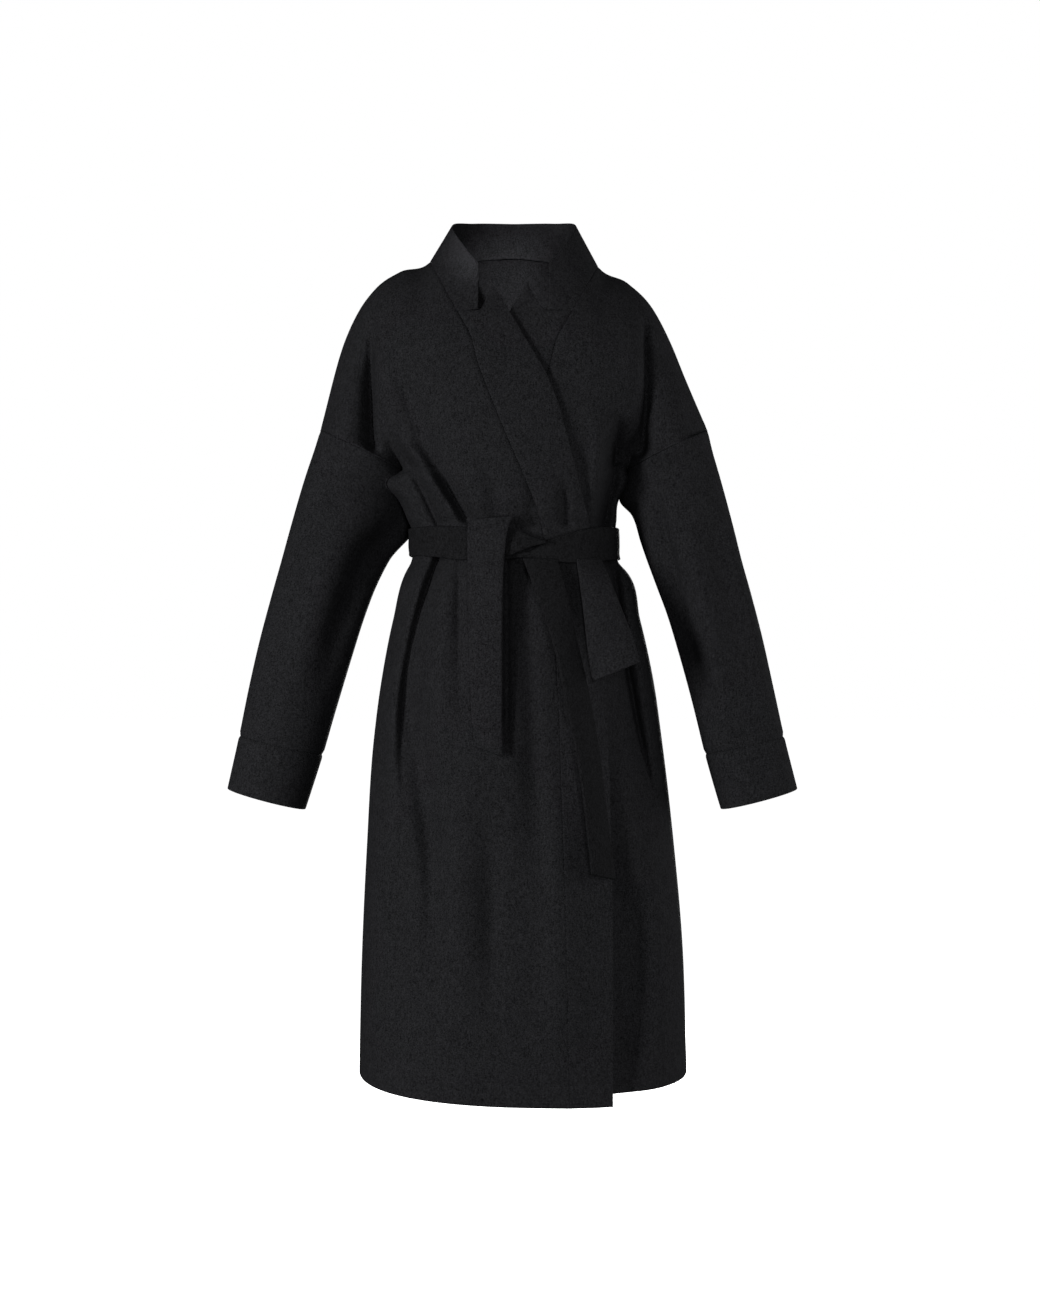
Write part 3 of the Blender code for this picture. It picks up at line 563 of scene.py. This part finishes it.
def shoulder_round(x, z):
    """0 on the shoulder line, 1 where the cloth hangs straight below it."""
    below = np.clip((shoulder_z(x) - z - SHOULDER_LEVEL) / SHOULDER_ROUND, 0, 1)
    return np.sqrt(1 - (1 - below) ** 2)


def above_armhole(x, z):
    """Height of a place above the line of its armhole."""
    return (RING_X - np.abs(x)) * math.sin(RING_TILT) + (z - RING_Z) * math.cos(RING_TILT)


def bare_depth(face, x, z):
    """Depth of the coat from its side seams to the front or back, before folds."""
    deep = curve(column(TORSO, "z"), column(TORSO, face), z)
    spread = np.clip(1 - np.abs(x / half_width(x, z)) ** SECTION_SQUARENESS, 0, 1)
    torso = deep * spread ** (1 / SECTION_SQUARENESS)
    outward = (np.abs(x) - RING_X) * math.cos(ARM_LEAN) + (z - RING_Z) * math.sin(ARM_LEAN)
    fuller = 1 + ARM_FULLER * ease(above_armhole(x, z) / ARM_FULLER_RISE)
    turn = outward / (RING_HALF_WIDTH * math.cos(RING_TILT - ARM_LEAN) * fuller)
    arm = RING_HALF_DEPTH * np.sqrt(np.clip(1 - turn ** 2, 0, 1))
    both = (torso ** ARM_BLEND + arm ** ARM_BLEND) ** (1 / ARM_BLEND)
    return both * shoulder_round(x, z)


def side_fade(x, z):
    """1 over the middle of a panel, 0 at its seams, so that no fold opens one."""
    torso = 1 - np.clip(np.abs(x / half_width(x, z)), 0, 1) ** SIDE_FADE_POWER
    return np.maximum(torso, ease(above_armhole(x, z) / ARM_FADE)) * shoulder_round(x, z)


def band_line(table, z):
    """Place across of a band's seam or edge at a level."""
    return curve(column(table, "z"), column(table, "across"), z)


def wrapped_line(table, side, z):
    """A band's seam or edge; the under front wraps further at the neck and less far below."""
    start, end = UNDER_SHIFT_LEVELS
    less = UNDER_SHIFT * ease((z - start) / (end - start))
    if table is BAND_EDGE:
        less = less - UNDER_NECK_SHIFT * ease((z - start) / UNDER_NECK_FADE)
    return band_line(table, z) + (less if side == RIGHT else 0.0)


def seam_level(side, t):
    """Level of a share of the band's seam from the neck point down to the underarm."""
    first = neck_point_z(side)
    return first + (UNDERARM_Z - first) * t


def seam_across(side, z):
    """Place across of the band's seam, which starts at its own side's neck point."""
    first = neck_point_z(side)
    share = np.clip((UNDERARM_Z - z) / (UNDERARM_Z - first), 0, 1)
    return wrapped_line(BAND_SEAM, side, z - first * share)


def seam_dip(off):
    """Shallow dip of the cloth along a seam."""
    return SEAM_DIP * np.exp(-(off / SEAM_DIP_WIDTH) ** 2)


def band_dip(side, x, z):
    """Dip along a front band's seam, which eases off on the skirt."""
    start, end = SEAM_EASE_LEVELS
    eased = 1 - SEAM_EASE * ease((z - start) / (end - start))
    return seam_dip(x - side * seam_across(side, z)) * eased


def bodice_depth(x, z):
    """Depth of the coat's front, folds included."""
    return bare_depth("front", x, z) + fold_height(FRONT_FOLDS, x, z) * side_fade(x, z)


def over_depth(x, z):
    """Depth of the over front's face; low down its free edge stands off."""
    start, end = EDGE_LIFT_LEVELS
    off = (x + band_line(BAND_EDGE, z)) / EDGE_LIFT_WIDTH
    lift = EDGE_LIFT * ease((z - start) / (end - start)) * np.exp(-off ** 2)
    return bodice_depth(x, z) + lift - band_dip(LEFT, x, z)


def under_depth(x, z):
    """Depth of the under front's face: plain, and further in, where the over front hides it."""
    start, end = WRAP_FADE
    beyond = x + band_line(BAND_EDGE, z)
    plain = bare_depth("front", x, z)
    to_right = bare_depth("front", x + SLOPE_STEP, z)
    to_left = bare_depth("front", x - SLOPE_STEP, z)
    slope = (to_right - to_left) / (2 * SLOPE_STEP)
    lean = np.sqrt(1 + np.minimum(slope ** 2, STEEPEST_SLOPE ** 2))
    dip = WRAP_DEPTH * ease((end - beyond) / (end - start)) + WRAP_SINK * np.clip(-beyond, 0, None)
    folds = fold_height(FRONT_FOLDS + UNDER_FOLDS, x, z) * ease(1 + beyond / WRAP_PLAIN)
    return plain + (folds - dip * lean) * side_fade(x, z) - band_dip(RIGHT, x, z)


def back_depth(x, z):
    """Depth of the back's face, folds included."""
    return bare_depth("back", x, z) + fold_height(BACK_FOLDS, x, z) * side_fade(x, z)


def angle_at(x, z):
    """Angle round the body of a place on the front."""
    share = np.clip(np.abs(x / half_width(x, z)), 0, 1) ** (SECTION_SQUARENESS / 2)
    return np.sign(x) * np.arcsin(share)


def x_at(angle, z):
    """Place across the body of an angle round it."""
    share = np.abs(np.sin(angle)) ** (2 / SECTION_SQUARENESS)
    return np.sign(angle) * share * half_width(angle, z)


# Outlines of the panels in the front view

def shoulder_seam(t, side):
    """Front view of the shoulder seam, from the neck to the arm, evenly along it."""
    across = np.linspace(NECK_HALF_WIDTH, OUTER_ARM_X, SEAM_STEPS)
    height = shoulder_z(side * across)
    lengths = np.hypot(np.diff(across), np.diff(height))
    reach = np.concatenate([[0], np.cumsum(lengths)])
    place = np.interp(t, reach / reach[-1], across)
    return side * place, shoulder_z(side * place)


def armhole(t, side):
    """Front view of the armhole, from the shoulder seam to the underarm."""
    along = RING_HALF_WIDTH * np.cos(math.pi * t)
    return side * (RING_X + along * math.cos(RING_TILT)), RING_Z + along * math.sin(RING_TILT)


def underarm_row(angle):
    """Front view of the level row from side seam to side seam."""
    return x_at(angle, UNDERARM_Z + 0 * angle), UNDERARM_Z + 0 * angle


def patch(top, bottom, start, end, u, v):
    """Fill four border curves, given as functions, with a smooth net in the front view."""
    net = []
    for axis in (0, 1):
        across = (1 - u) * start(v)[axis] + u * end(v)[axis]
        down = (1 - v) * top(u)[axis] + v * bottom(u)[axis]
        upper = (1 - u) * top(0 * u)[axis] + u * top(0 * u + 1)[axis]
        lower = (1 - u) * bottom(0 * u)[axis] + u * bottom(0 * u + 1)[axis]
        net.append(across + down - (1 - v) * upper - v * lower)
    return net


def front_net(side, u, v):
    """Front view of a front panel above the underarm: u from the band to the arm, v down."""
    def band_side(t):
        level = seam_level(side, t)
        return side * seam_across(side, level), level

    def foot(t):
        first = angle_at(side * seam_across(side, np.array(UNDERARM_Z)), UNDERARM_Z)
        return underarm_row(first + (side * math.pi / 2 - first) * t)

    return patch(
        lambda t: shoulder_seam(t, side),
        foot,
        band_side,
        lambda t: armhole(t, side),
        u, v,
    )


def back_neck(t, side):
    """Front view of half the back neck, from its middle to the neck point."""
    t = np.clip(t, 0, 1)
    end = neck_point_z(side)
    x = side * NECK_HALF_WIDTH * t * (1 + NECK_BOW * (1 - t))
    return x, BACK_NECK_Z + (end - BACK_NECK_Z) * t ** NECK_CURVE


def neck_and_shoulders(t):
    """Upper edge of the back: shoulder, neck, shoulder."""
    side = np.where(t < 0.5, LEFT, RIGHT)
    out = np.abs(t - 0.5) / 0.5
    seam = np.clip((out - NECK_SHARE) / (1 - NECK_SHARE), 0, 1)
    right_x, right_z = shoulder_seam(seam, RIGHT)
    left_x, left_z = shoulder_seam(seam, LEFT)
    neck_x, neck_z = back_neck(out / NECK_SHARE, side)
    in_neck = out < NECK_SHARE
    x = np.where(in_neck, neck_x, np.where(side < 0, left_x, right_x))
    z = np.where(in_neck, neck_z, np.where(side < 0, left_z, right_z))
    return x, z


def back_net(u, v):
    """Front view of the back above the underarm."""
    return patch(
        neck_and_shoulders,
        lambda t: underarm_row((2 * t - 1) * math.pi / 2),
        lambda t: armhole(t, LEFT),
        lambda t: armhole(t, RIGHT),
        u, v,
    )


def row_levels():
    """Rows of a panel: shares of the part above the underarm, then levels below it."""
    upper = np.linspace(0, 1, UPPER_ROWS + 1) ** UPPER_CROWDING
    plain = np.linspace(UNDERARM_Z, HEM_Z + HEM_ZONE, LOWER_ROWS + 1)
    hem = np.linspace(HEM_Z + HEM_ZONE, HEM_Z, HEM_ROWS + 1)
    return upper, np.concatenate([plain, hem[1:]])


def near_hem(z):
    """0 down to the underarm, 1 at the hem."""
    return np.clip((z - UNDERARM_Z) / (HEM_Z - UNDERARM_Z), 0, 1) ** HEM_FADE_POWER


def hem_stitch(z):
    """Shallow groove of the stitch line along the hem."""
    off = (z - HEM_Z - HEM_STITCH) / HEM_STITCH_WIDTH
    return HEM_STITCH_DEPTH * np.exp(-off ** 2)


# Walls of cloth

def unit(vectors):
    """Vectors of length 1."""
    return vectors / np.linalg.norm(vectors, axis=-1, keepdims=True)


def surface_normals(points, closed):
    """Normals of a net from its neighbours, turned away from the middle of the coat."""
    down = np.gradient(points, axis=0)
    if closed:
        across = np.roll(points, -1, axis=1) - np.roll(points, 1, axis=1)
    else:
        across = np.gradient(points, axis=1)
    normals = unit(np.cross(across, down))
    return normals * np.sign(np.sum(normals[..., :2] * points[..., :2]))


def edge_push(points, reach):
    """Push out of a net's first row, full there and less on the rows near it."""
    lengths = np.linalg.norm(np.diff(points, axis=0), axis=2)
    inside = np.vstack([np.zeros_like(lengths[:1]), np.cumsum(lengths, axis=0)])
    share = np.clip(1 - inside / (RIM_DRAW * reach), 0, 1)
    return reach * unit(points[0] - points[2])[None] * share[:, :, None]


def border_push(points, reach, closed):
    """Push out of a net at all its edges."""
    push = edge_push(points, reach) + edge_push(points[::-1], reach)[::-1]
    if not closed:
        turned = points.swapaxes(0, 1)
        sideways = edge_push(turned, reach) + edge_push(turned[::-1], reach)[::-1]
        push = push + sideways.swapaxes(0, 1)
    return push


def net_faces(rows, columns, closed, first, turned):
    """Quads of a net whose points start at an index."""
    across = columns if closed else columns - 1
    r, c = np.meshgrid(np.arange(rows - 1), np.arange(across), indexing="ij")
    d = (c + 1) % columns
    corners = [r * columns + c, (r + 1) * columns + c, (r + 1) * columns + d, r * columns + d]
    if turned:
        corners = corners[::-1]
    return np.stack(corners, axis=2).reshape(-1, 4) + first


def borders_of(rows, columns, closed):
    """Closed loops of the border points of a net."""
    top = np.arange(columns)
    bottom = (rows - 1) * columns + np.arange(columns)
    if closed:
        return [top, bottom[::-1]]
    right = np.arange(1, rows) * columns + columns - 1
    left = np.arange(rows - 2, 0, -1) * columns
    return [np.concatenate([top, right, bottom[::-1][1:], left])]


def cloth_wall(name, outer, thickness, closed=False, inner=None):
    """A closed wall of cloth from its outer net, with a rounded rim along each edge."""
    rows, columns = outer.shape[:2]
    if inner is None:
        inner = outer - thickness * surface_normals(outer, closed)
    away = border_push(outer, thickness / 2, closed)
    outer = (outer - away).reshape(-1, 3)
    inner = (inner - away).reshape(-1, 3)
    away = away.reshape(-1, 3)
    points = [outer, inner]
    faces = [
        net_faces(rows, columns, closed, 0, False),
        net_faces(rows, columns, closed, rows * columns, True),
    ]
    count = 2 * rows * columns
    for border in borders_of(rows, columns, closed):
        middle = (outer[border] + inner[border]) / 2
        half = (outer[border] - inner[border]) / 2
        loops = [border]
        for step in range(1, RIM_STEPS + 1):
            turn = math.pi * step / (RIM_STEPS + 1)
            points.append(middle + half * math.cos(turn) + away[border] * math.sin(turn))
            loops.append(count + np.arange(len(border)))
            count += len(border)
        loops.append(border + rows * columns)
        for near, far in zip(loops[:-1], loops[1:]):
            faces.append(np.stack([near, np.roll(near, -1), np.roll(far, -1), far], axis=1))
    return cloth_object(name, np.concatenate(points), np.concatenate(faces))


def cloth_object(name, points, faces):
    """A smooth object from points and quads, turned so that its faces point outwards."""
    a, b, c, d = (points[faces[:, i]] for i in range(4))
    volume = np.sum(a * np.cross(b, c)) + np.sum(a * np.cross(c, d))
    if volume < 0:
        faces = faces[:, ::-1]
    mesh = bpy.data.meshes.new(name + "_cloth")
    mesh.from_pydata(points.tolist(), [], faces.tolist())
    mesh.shade_smooth()
    piece = bpy.data.objects.new(name + "_cloth", mesh)
    bpy.context.scene.collection.objects.link(piece)
    return piece


# Pieces of the coat

def set_armhole_edge(outer, edge_column):
    """Nothing folds at the armhole, so its edge there is the plain ring."""
    edge = outer[:UPPER_ROWS + 1, edge_column]
    face = -1 if edge[UPPER_ROWS // 2, 1] < 0 else 1
    ring = RING_HALF_DEPTH * np.sin(math.pi * row_levels()[0])
    edge[:, 1] = face * (ring - ARM_DIP * SEAM_DIP - SEAM_SET)


def front_panel(name, side, depth):
    """One front, from the band's seam to the shoulder, armhole and side seam."""
    upper_rows, levels = row_levels()
    u = np.linspace(0, 1, FRONT_COLUMNS + 1)
    upper_x, upper_z = front_net(side, *np.meshgrid(u, upper_rows))
    low_u, low_z = np.meshgrid(u, levels)
    first = angle_at(side * seam_across(side, low_z), low_z)
    low_x = x_at(first + (side * math.pi / 2 - first) * low_u, low_z)
    rise = SIDE_HEM_RISE * low_u ** SIDE_HEM_POWER - HEM_DIP[side] * (1 - low_u)
    hung_z = low_z + rise * near_hem(low_z)
    x = np.vstack([upper_x[:-1], low_x])
    z = np.vstack([upper_z[:-1], hung_z])
    groove = np.vstack([0 * upper_x[:-1], hem_stitch(low_z)]) * side_fade(x, z)
    outer = np.stack([x, -depth(x, z) + SEAM_SET + groove, z], axis=2)
    outer[:, 0, 0] -= side * SEAM_LAP / 2
    set_armhole_edge(outer, -1)
    return cloth_wall(name, outer, CLOTH)


def back_panel():
    """The back, in one piece from side seam to side seam."""
    upper_rows, levels = row_levels()
    u = np.linspace(0, 1, BACK_COLUMNS + 1)
    upper_x, upper_z = back_net(*np.meshgrid(u, upper_rows))
    low_u, low_z = np.meshgrid(u, levels)
    low_x = x_at((2 * low_u - 1) * math.pi / 2, low_z)
    rise = SIDE_HEM_RISE * np.abs(2 * low_u - 1) ** SIDE_HEM_POWER
    hung_z = low_z + rise * near_hem(low_z)
    x = np.vstack([upper_x[:-1], low_x])
    z = np.vstack([upper_z[:-1], hung_z])
    groove = np.vstack([0 * upper_x[:-1], hem_stitch(low_z)]) * side_fade(x, z)
    outer = np.stack([x, back_depth(x, z) - SEAM_SET - groove, z], axis=2)
    set_armhole_edge(outer, 0)
    set_armhole_edge(outer, -1)
    return cloth_wall("back", outer, CLOTH)


def front_band(name, side, depth):
    """One front band, from the peak under the collar to the hem."""
    top = COLLAR_FRONT_Z
    upper_rows, lower = row_levels()
    upper = seam_level(side, upper_rows[:-1])
    levels = np.concatenate([[top], upper[upper < top - CLOTH], lower])
    share, level = np.meshgrid(np.linspace(0, 1, BAND_COLUMNS + 1), levels)
    climb = np.clip((share - PEAK_START) / (1 - PEAK_START), 0, 1)
    rise = PEAK_RISE[side] * climb * np.exp((level - top) / PEAK_FADE)
    z = level + rise - HEM_DIP[side] * near_hem(level)
    seam = seam_across(side, level) + SEAM_LAP / 2
    x = side * (seam + (wrapped_line(BAND_EDGE, side, z) - seam) * share)
    outer = np.stack([x, -depth(x, z) + SEAM_SET + hem_stitch(level), z], axis=2)
    return cloth_wall(name, outer, CLOTH)


def collar_base(t, side):
    """Lower edge of half the collar, along the back neck, the front seam and the band's top."""
    neck_x, neck_z = back_neck(t / BACK_SHARE, side)
    first = neck_point_z(side)
    down = np.clip((t - BACK_SHARE) / (NOTCH_SHARE - BACK_SHARE), 0, 1) ** UPPER_CROWDING
    seam_z = first + (COLLAR_FRONT_Z - first) * down
    foot = np.clip((t - NOTCH_SHARE) / (1 - NOTCH_SHARE), 0, 1)
    seam_x = np.where(side > 0, seam_across(RIGHT, seam_z), seam_across(LEFT, seam_z))
    x = np.where(t < BACK_SHARE, neck_x, side * (seam_x + (COLLAR_END_ACROSS - seam_x) * foot))
    z = np.where(t < BACK_SHARE, neck_z, seam_z + (COLLAR_END_Z - COLLAR_FRONT_Z) * foot)
    return x, z


def collar():
    """The stand collar, leaning in as it rises, open between its front ends."""
    turn = np.linspace(-1, 1, COLLAR_COLUMNS + 1)
    t = np.abs(turn)
    side = np.sign(turn)
    base_x, base_z = collar_base(t, side)
    behind = t < BACK_SHARE
    base_y = np.where(behind, back_depth(base_x, base_z), SEAM_DIP - bodice_depth(base_x, base_z))
    lap = COLLAR_LAP + (COLLAR_BACK_LAP - COLLAR_LAP) * ease((BACK_SHARE - t) / BACK_SHARE)
    base = np.stack([base_x + side * COLLAR_LAP, base_y - (lap - COLLAR_LAP), base_z - lap], axis=1)
    along = column(COLLAR_TOP, "along", 1)
    top = np.stack([curve(along, column(COLLAR_TOP, axis), t) for axis in ("x", "y", "z")], axis=1)
    top[:, 0] *= side
    rise = np.linspace(1, 0, COLLAR_ROWS + 1)[:, None, None]
    outer = base[None] * (1 - rise) + top[None] * rise
    return cloth_wall("collar", outer, CLOTH)


def sleeve_net(side, along, inset):
    """Rings of a sleeve at the given places along it."""
    places = column(SLEEVE, "along", 1)
    x, y, z, width, depth = (
        curve(places, column(SLEEVE, name), along)[:, None]
        for name in ("x", "y", "z", "width", "depth")
    )
    tilt = np.radians(curve(places, column(SLEEVE, "tilt", 1), along))[:, None]
    fullness = SLEEVE_FULLNESS[side]
    places = column(fullness, "along", 1)
    outside, inside, behind = (
        curve(places, column(fullness, name), along)[:, None]
        for name in ("outside", "inside", "behind")
    )
    x = x + (outside - inside) / 2
    width = width + (outside + inside) / 2
    turn = np.linspace(0, 2 * math.pi, SLEEVE_SIDES, endpoint=False)[None, :]
    swell = sleeve_swell(side, along[:, None], turn) - inset
    out = (width + swell) * np.cos(turn)
    return np.stack([
        side * (x + out * np.cos(tilt)),
        y + (depth + swell) * np.sin(turn) + behind * (1 - np.cos(turn)) / 2,
        z + out * np.sin(tilt),
    ], axis=2)


def sleeve_swell(side, along, turn):
    """Height of the long soft folds round a sleeve, and of the dips along its two seams."""
    swell = np.zeros_like(along + turn)
    for fold in SLEEVE_FOLDS[side]:
        t = (along - fold.start) / (fold.end - fold.start)
        middle = np.radians(fold.turn1 + (fold.turn2 - fold.turn1) * np.clip(t, 0, 1))
        away = np.angle(np.exp(1j * (turn - middle)))
        strength = ease(t / FOLD_RISE) * ease((1 - t) / FOLD_FALL)
        swell += fold.height * MM * strength * np.exp(-(away / math.radians(fold.width)) ** 2)
    dips = ARM_DIP * seam_dip(along * SLEEVE_LENGTH) + seam_dip((along - CUFF_SEAM) * SLEEVE_LENGTH)
    return swell - dips


def sleeve_tube(name, side, start, end, rows):
    """A stretch of sleeve or cuff as an open tube."""
    along = np.linspace(start, end, rows + 1)
    outer = sleeve_net(side, along, 0.0)
    return cloth_wall(name, outer, CLOTH, closed=True, inner=sleeve_net(side, along, CLOTH))


# Pieces of the belt

def belt_waist():
    """The belt round the waist, on the coat's face moved out."""
    angle = np.linspace(-math.pi, math.pi, BELT_COLUMNS, endpoint=False)
    share = np.linspace(1, 0, BELT_ROWS + 1)[:, None]
    front = np.cos(angle) > 0
    plain = x_at(np.arcsin(np.sin(angle)), 0 * angle + BELT_BACK[0])
    behind = ease(-np.cos(angle))
    edges = column(BELT_EDGES, "x")
    top = curve(edges, column(BELT_EDGES, "top"), plain)
    bottom = curve(edges, column(BELT_EDGES, "bottom"), plain)
    top = top + (BELT_BACK[0] - top) * behind
    bottom = bottom + (BELT_BACK[1] - bottom) * behind
    z = bottom * (1 - share) + top * share
    x = x_at(np.arcsin(np.sin(angle)) + 0 * z, z)
    y = np.where(front, -bare_depth("front", x, z), bare_depth("back", x, z))
    face = np.stack([x, y, z], axis=2)
    out = surface_normals(face, True)
    out[:, :, 2] = 0
    out = unit(out)
    pillow = BELT_PILLOW * np.sin(math.pi * share)[:, :, None]
    inner = face + BELT_CLEARANCE * out
    outer = face + (BELT_CLEARANCE + BELT_CLOTH + pillow) * out
    return cloth_wall("belt_waist", outer, BELT_CLOTH, closed=True, inner=inner)


def belt_ribbon(name, steps, stitch=0.0):
    """A flat stretch of belt that lies on the over front, moved out from its points."""
    place = np.linspace(0, 1, len(steps))
    t = np.linspace(0, 1, RIBBON_STEPS + 1)
    share = np.linspace(0, 1, RIBBON_COLUMNS + 1)[None, :]
    edges = {key: curve(place, column(steps, key), t)[:, None] for key in Step._fields}
    x = edges["x_left"] * (1 - share) + edges["x_right"] * share
    z = edges["z_left"] * (1 - share) + edges["z_right"] * share
    out = edges["out_left"] * (1 - share) + edges["out_right"] * share
    out = out + RIBBON_PILLOW * np.sin(math.pi * share)
    if stitch:
        off = (z - z[-1] - stitch) / HEM_STITCH_WIDTH
        out = out - HEM_STITCH_DEPTH * np.exp(-off ** 2)
    outer = np.stack([x, -bare_depth("front", x, z) - out, z], axis=2)
    return cloth_wall(name, outer, BELT_CLOTH)


# Wool

def noise(tree, place, scale, detail):
    """A noise texture on the piece's own coordinates."""
    node = tree.nodes.new("ShaderNodeTexNoise")
    node.inputs["Scale"].default_value = scale
    node.inputs["Detail"].default_value = detail
    node.inputs["Roughness"].default_value = NOISE_ROUGHNESS
    tree.links.new(place, node.inputs["Vector"])
    return node.outputs["Fac"]


def weighted(tree, first, second, share):
    """Mix of two grey values."""
    node = tree.nodes.new("ShaderNodeMix")
    node.inputs["Factor"].default_value = share
    tree.links.new(first, node.inputs["A"])
    tree.links.new(second, node.inputs["B"])
    return node.outputs["Result"]


def wool(name, dark, light):
    """Black felted wool: fine nap, longer fibres and soft cloudy patches."""
    material = bpy.data.materials.new(name)
    material.use_nodes = True
    tree = material.node_tree
    shader = tree.nodes["Principled BSDF"]
    place = tree.nodes.new("ShaderNodeTexCoord").outputs["Object"]
    stretch = tree.nodes.new("ShaderNodeMapping")
    stretch.inputs["Scale"].default_value = FIBRE_STRETCH
    tree.links.new(place, stretch.inputs["Vector"])
    nap = noise(tree, place, NAP_SCALE, NAP_DETAIL)
    fibre = noise(tree, stretch.outputs["Vector"], FIBRE_SCALE, FIBRE_DETAIL)
    cloud = noise(tree, place, CLOUD_SCALE, CLOUD_DETAIL)
    fuzz = weighted(tree, nap, fibre, FIBRE_SHARE)
    shade = tree.nodes.new("ShaderNodeValToRGB")
    shade.color_ramp.elements[0].position = DARK_AT
    shade.color_ramp.elements[0].color = dark
    shade.color_ramp.elements[1].position = LIGHT_AT
    shade.color_ramp.elements[1].color = light
    tree.links.new(weighted(tree, fuzz, cloud, CLOUD_SHARE), shade.inputs["Fac"])
    tree.links.new(shade.outputs["Color"], shader.inputs["Base Color"])
    bump = tree.nodes.new("ShaderNodeBump")
    bump.inputs["Strength"].default_value = WOOL_BUMP
    bump.inputs["Distance"].default_value = WOOL_BUMP_DEPTH
    tree.links.new(fuzz, bump.inputs["Height"])
    tree.links.new(bump.outputs["Normal"], shader.inputs["Normal"])
    shader.inputs["Roughness"].default_value = WOOL_ROUGHNESS
    shader.inputs["Specular IOR Level"].default_value = WOOL_SPECULAR
    return material


def finish_piece(piece, node, material):
    """Give a piece its cloth, hang it on the root body and hide its solid."""
    piece.data.materials.append(material)
    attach(piece, "root")
    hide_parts(node)


def sew_coat():
    """Make every piece of the coat."""
    coat_wool = wool("coat_wool", COAT_DARK, COAT_LIGHT)
    # Darker wool for the belt's shaded stretches: painted shade
    shaded_belt_wool = wool("shaded_belt_wool", SHADED_BELT_DARK, SHADED_BELT_LIGHT)
    lap = SEAM_LAP / SLEEVE_LENGTH
    coat = {
        "back": back_panel(),
        "front_over": front_panel("front_over", LEFT, over_depth),
        "front_under": front_panel("front_under", RIGHT, under_depth),
        "band_over": front_band("band_over", LEFT, over_depth),
        "band_under": front_band("band_under", RIGHT, under_depth),
        "collar": collar(),
        "sleeve_left": sleeve_tube("sleeve_left", LEFT, -lap, CUFF_SEAM + lap, SLEEVE_ROWS),
        "sleeve_right": sleeve_tube("sleeve_right", RIGHT, -lap, CUFF_SEAM + lap, SLEEVE_ROWS),
        "cuff_left": sleeve_tube("cuff_left", LEFT, CUFF_SEAM, 1, CUFF_ROWS),
        "cuff_right": sleeve_tube("cuff_right", RIGHT, CUFF_SEAM, 1, CUFF_ROWS),
    }
    belt = {
        "belt_waist": belt_waist(),
        "belt_knot": belt_ribbon("belt_knot", BELT_KNOT),
        "belt_loop": belt_ribbon("belt_loop", BELT_LOOP),
        "belt_end_short": belt_ribbon("belt_end_short", BELT_END_SHORT, END_STITCH),
        "belt_end_long": belt_ribbon("belt_end_long", BELT_END_LONG),
    }
    for node, piece in coat.items():
        finish_piece(piece, node, coat_wool)
    for node, piece in belt.items():
        # The waist, knot and long end get the darker wool, as painted shade
        cloth = shaded_belt_wool if node in SHADED_STRETCHES else coat_wool
        finish_piece(piece, node, cloth)


# Room

def hang_light(light, place, target):
    """Hang a light at a place, turned towards its target."""
    item = bpy.data.objects.new(light.name, light)
    item.location = place
    item.rotation_euler = (item.location - Vector(target)).to_track_quat("Z", "Y").to_euler()
    bpy.context.scene.collection.objects.link(item)


def soft_light(lamp):
    """A soft light aimed at the middle of the coat."""
    light = bpy.data.lights.new(lamp.name, "AREA")
    light.shape = "RECTANGLE"
    light.size = lamp.width
    light.size_y = lamp.height
    light.energy = lamp.power
    hang_light(light, (lamp.x, lamp.y, lamp.z), LIGHT_TARGET)


def neck_light():
    """A narrow light into the neck, which the collar keeps the others out of."""
    light = bpy.data.lights.new("neck_light", "SPOT")
    light.energy = NECK_LIGHT_POWER
    light.spot_size = NECK_LIGHT_ANGLE
    light.spot_blend = NECK_LIGHT_BLEND
    light.shadow_soft_size = NECK_LIGHT_SIZE
    hang_light(light, NECK_LIGHT_PLACE, NECK_LIGHT_TARGET)


def pale_floor():
    """A plain pale floor, well below the hem."""
    bpy.ops.object.select_all(action="DESELECT")
    bpy.ops.mesh.primitive_plane_add(size=FLOOR_SIZE, location=(0, 0, FLOOR_Z))
    floor = bpy.context.object
    floor.name = "floor"
    floor.visible_diffuse = False
    floor.visible_glossy = False
    paint = bpy.data.materials.new("floor_paint")
    paint.use_nodes = True
    shader = paint.node_tree.nodes["Principled BSDF"]
    shader.inputs["Base Color"].default_value = FLOOR_COLOUR
    shader.inputs["Emission Color"].default_value = FLOOR_COLOUR
    shader.inputs["Emission Strength"].default_value = FLOOR_GLOW
    floor.data.materials.append(paint)


def studio_world():
    """White surroundings that light the coat only a little."""
    world = bpy.data.worlds.new("studio")
    world.use_nodes = True
    tree = world.node_tree
    background = tree.nodes["Background"]
    background.inputs["Color"].default_value = WORLD_COLOUR
    ray = tree.nodes.new("ShaderNodeLightPath")
    strength = tree.nodes.new("ShaderNodeMix")
    strength.inputs["A"].default_value = WORLD_LIGHT
    strength.inputs["B"].default_value = WORLD_SEEN
    tree.links.new(ray.outputs["Is Camera Ray"], strength.inputs["Factor"])
    tree.links.new(strength.outputs["Result"], background.inputs["Strength"])
    bpy.context.scene.world = world


def room():
    """Pale floor, white surroundings, four soft lights and one into the neck."""
    pale_floor()
    studio_world()
    for lamp in LAMPS:
        soft_light(lamp)
    neck_light()
    bpy.context.scene.view_settings.view_transform = "Standard"


def camera():
    """Level camera in front of the coat."""
    lens = bpy.data.cameras.new("camera")
    lens.lens = CAMERA_LENS
    item = bpy.data.objects.new("camera", lens)
    item.location = CAMERA_PLACE
    item.rotation_euler = (math.pi / 2, 0.0, 0.0)
    bpy.context.scene.collection.objects.link(item)
    bpy.context.scene.camera = item


sew_coat()
room()
camera()
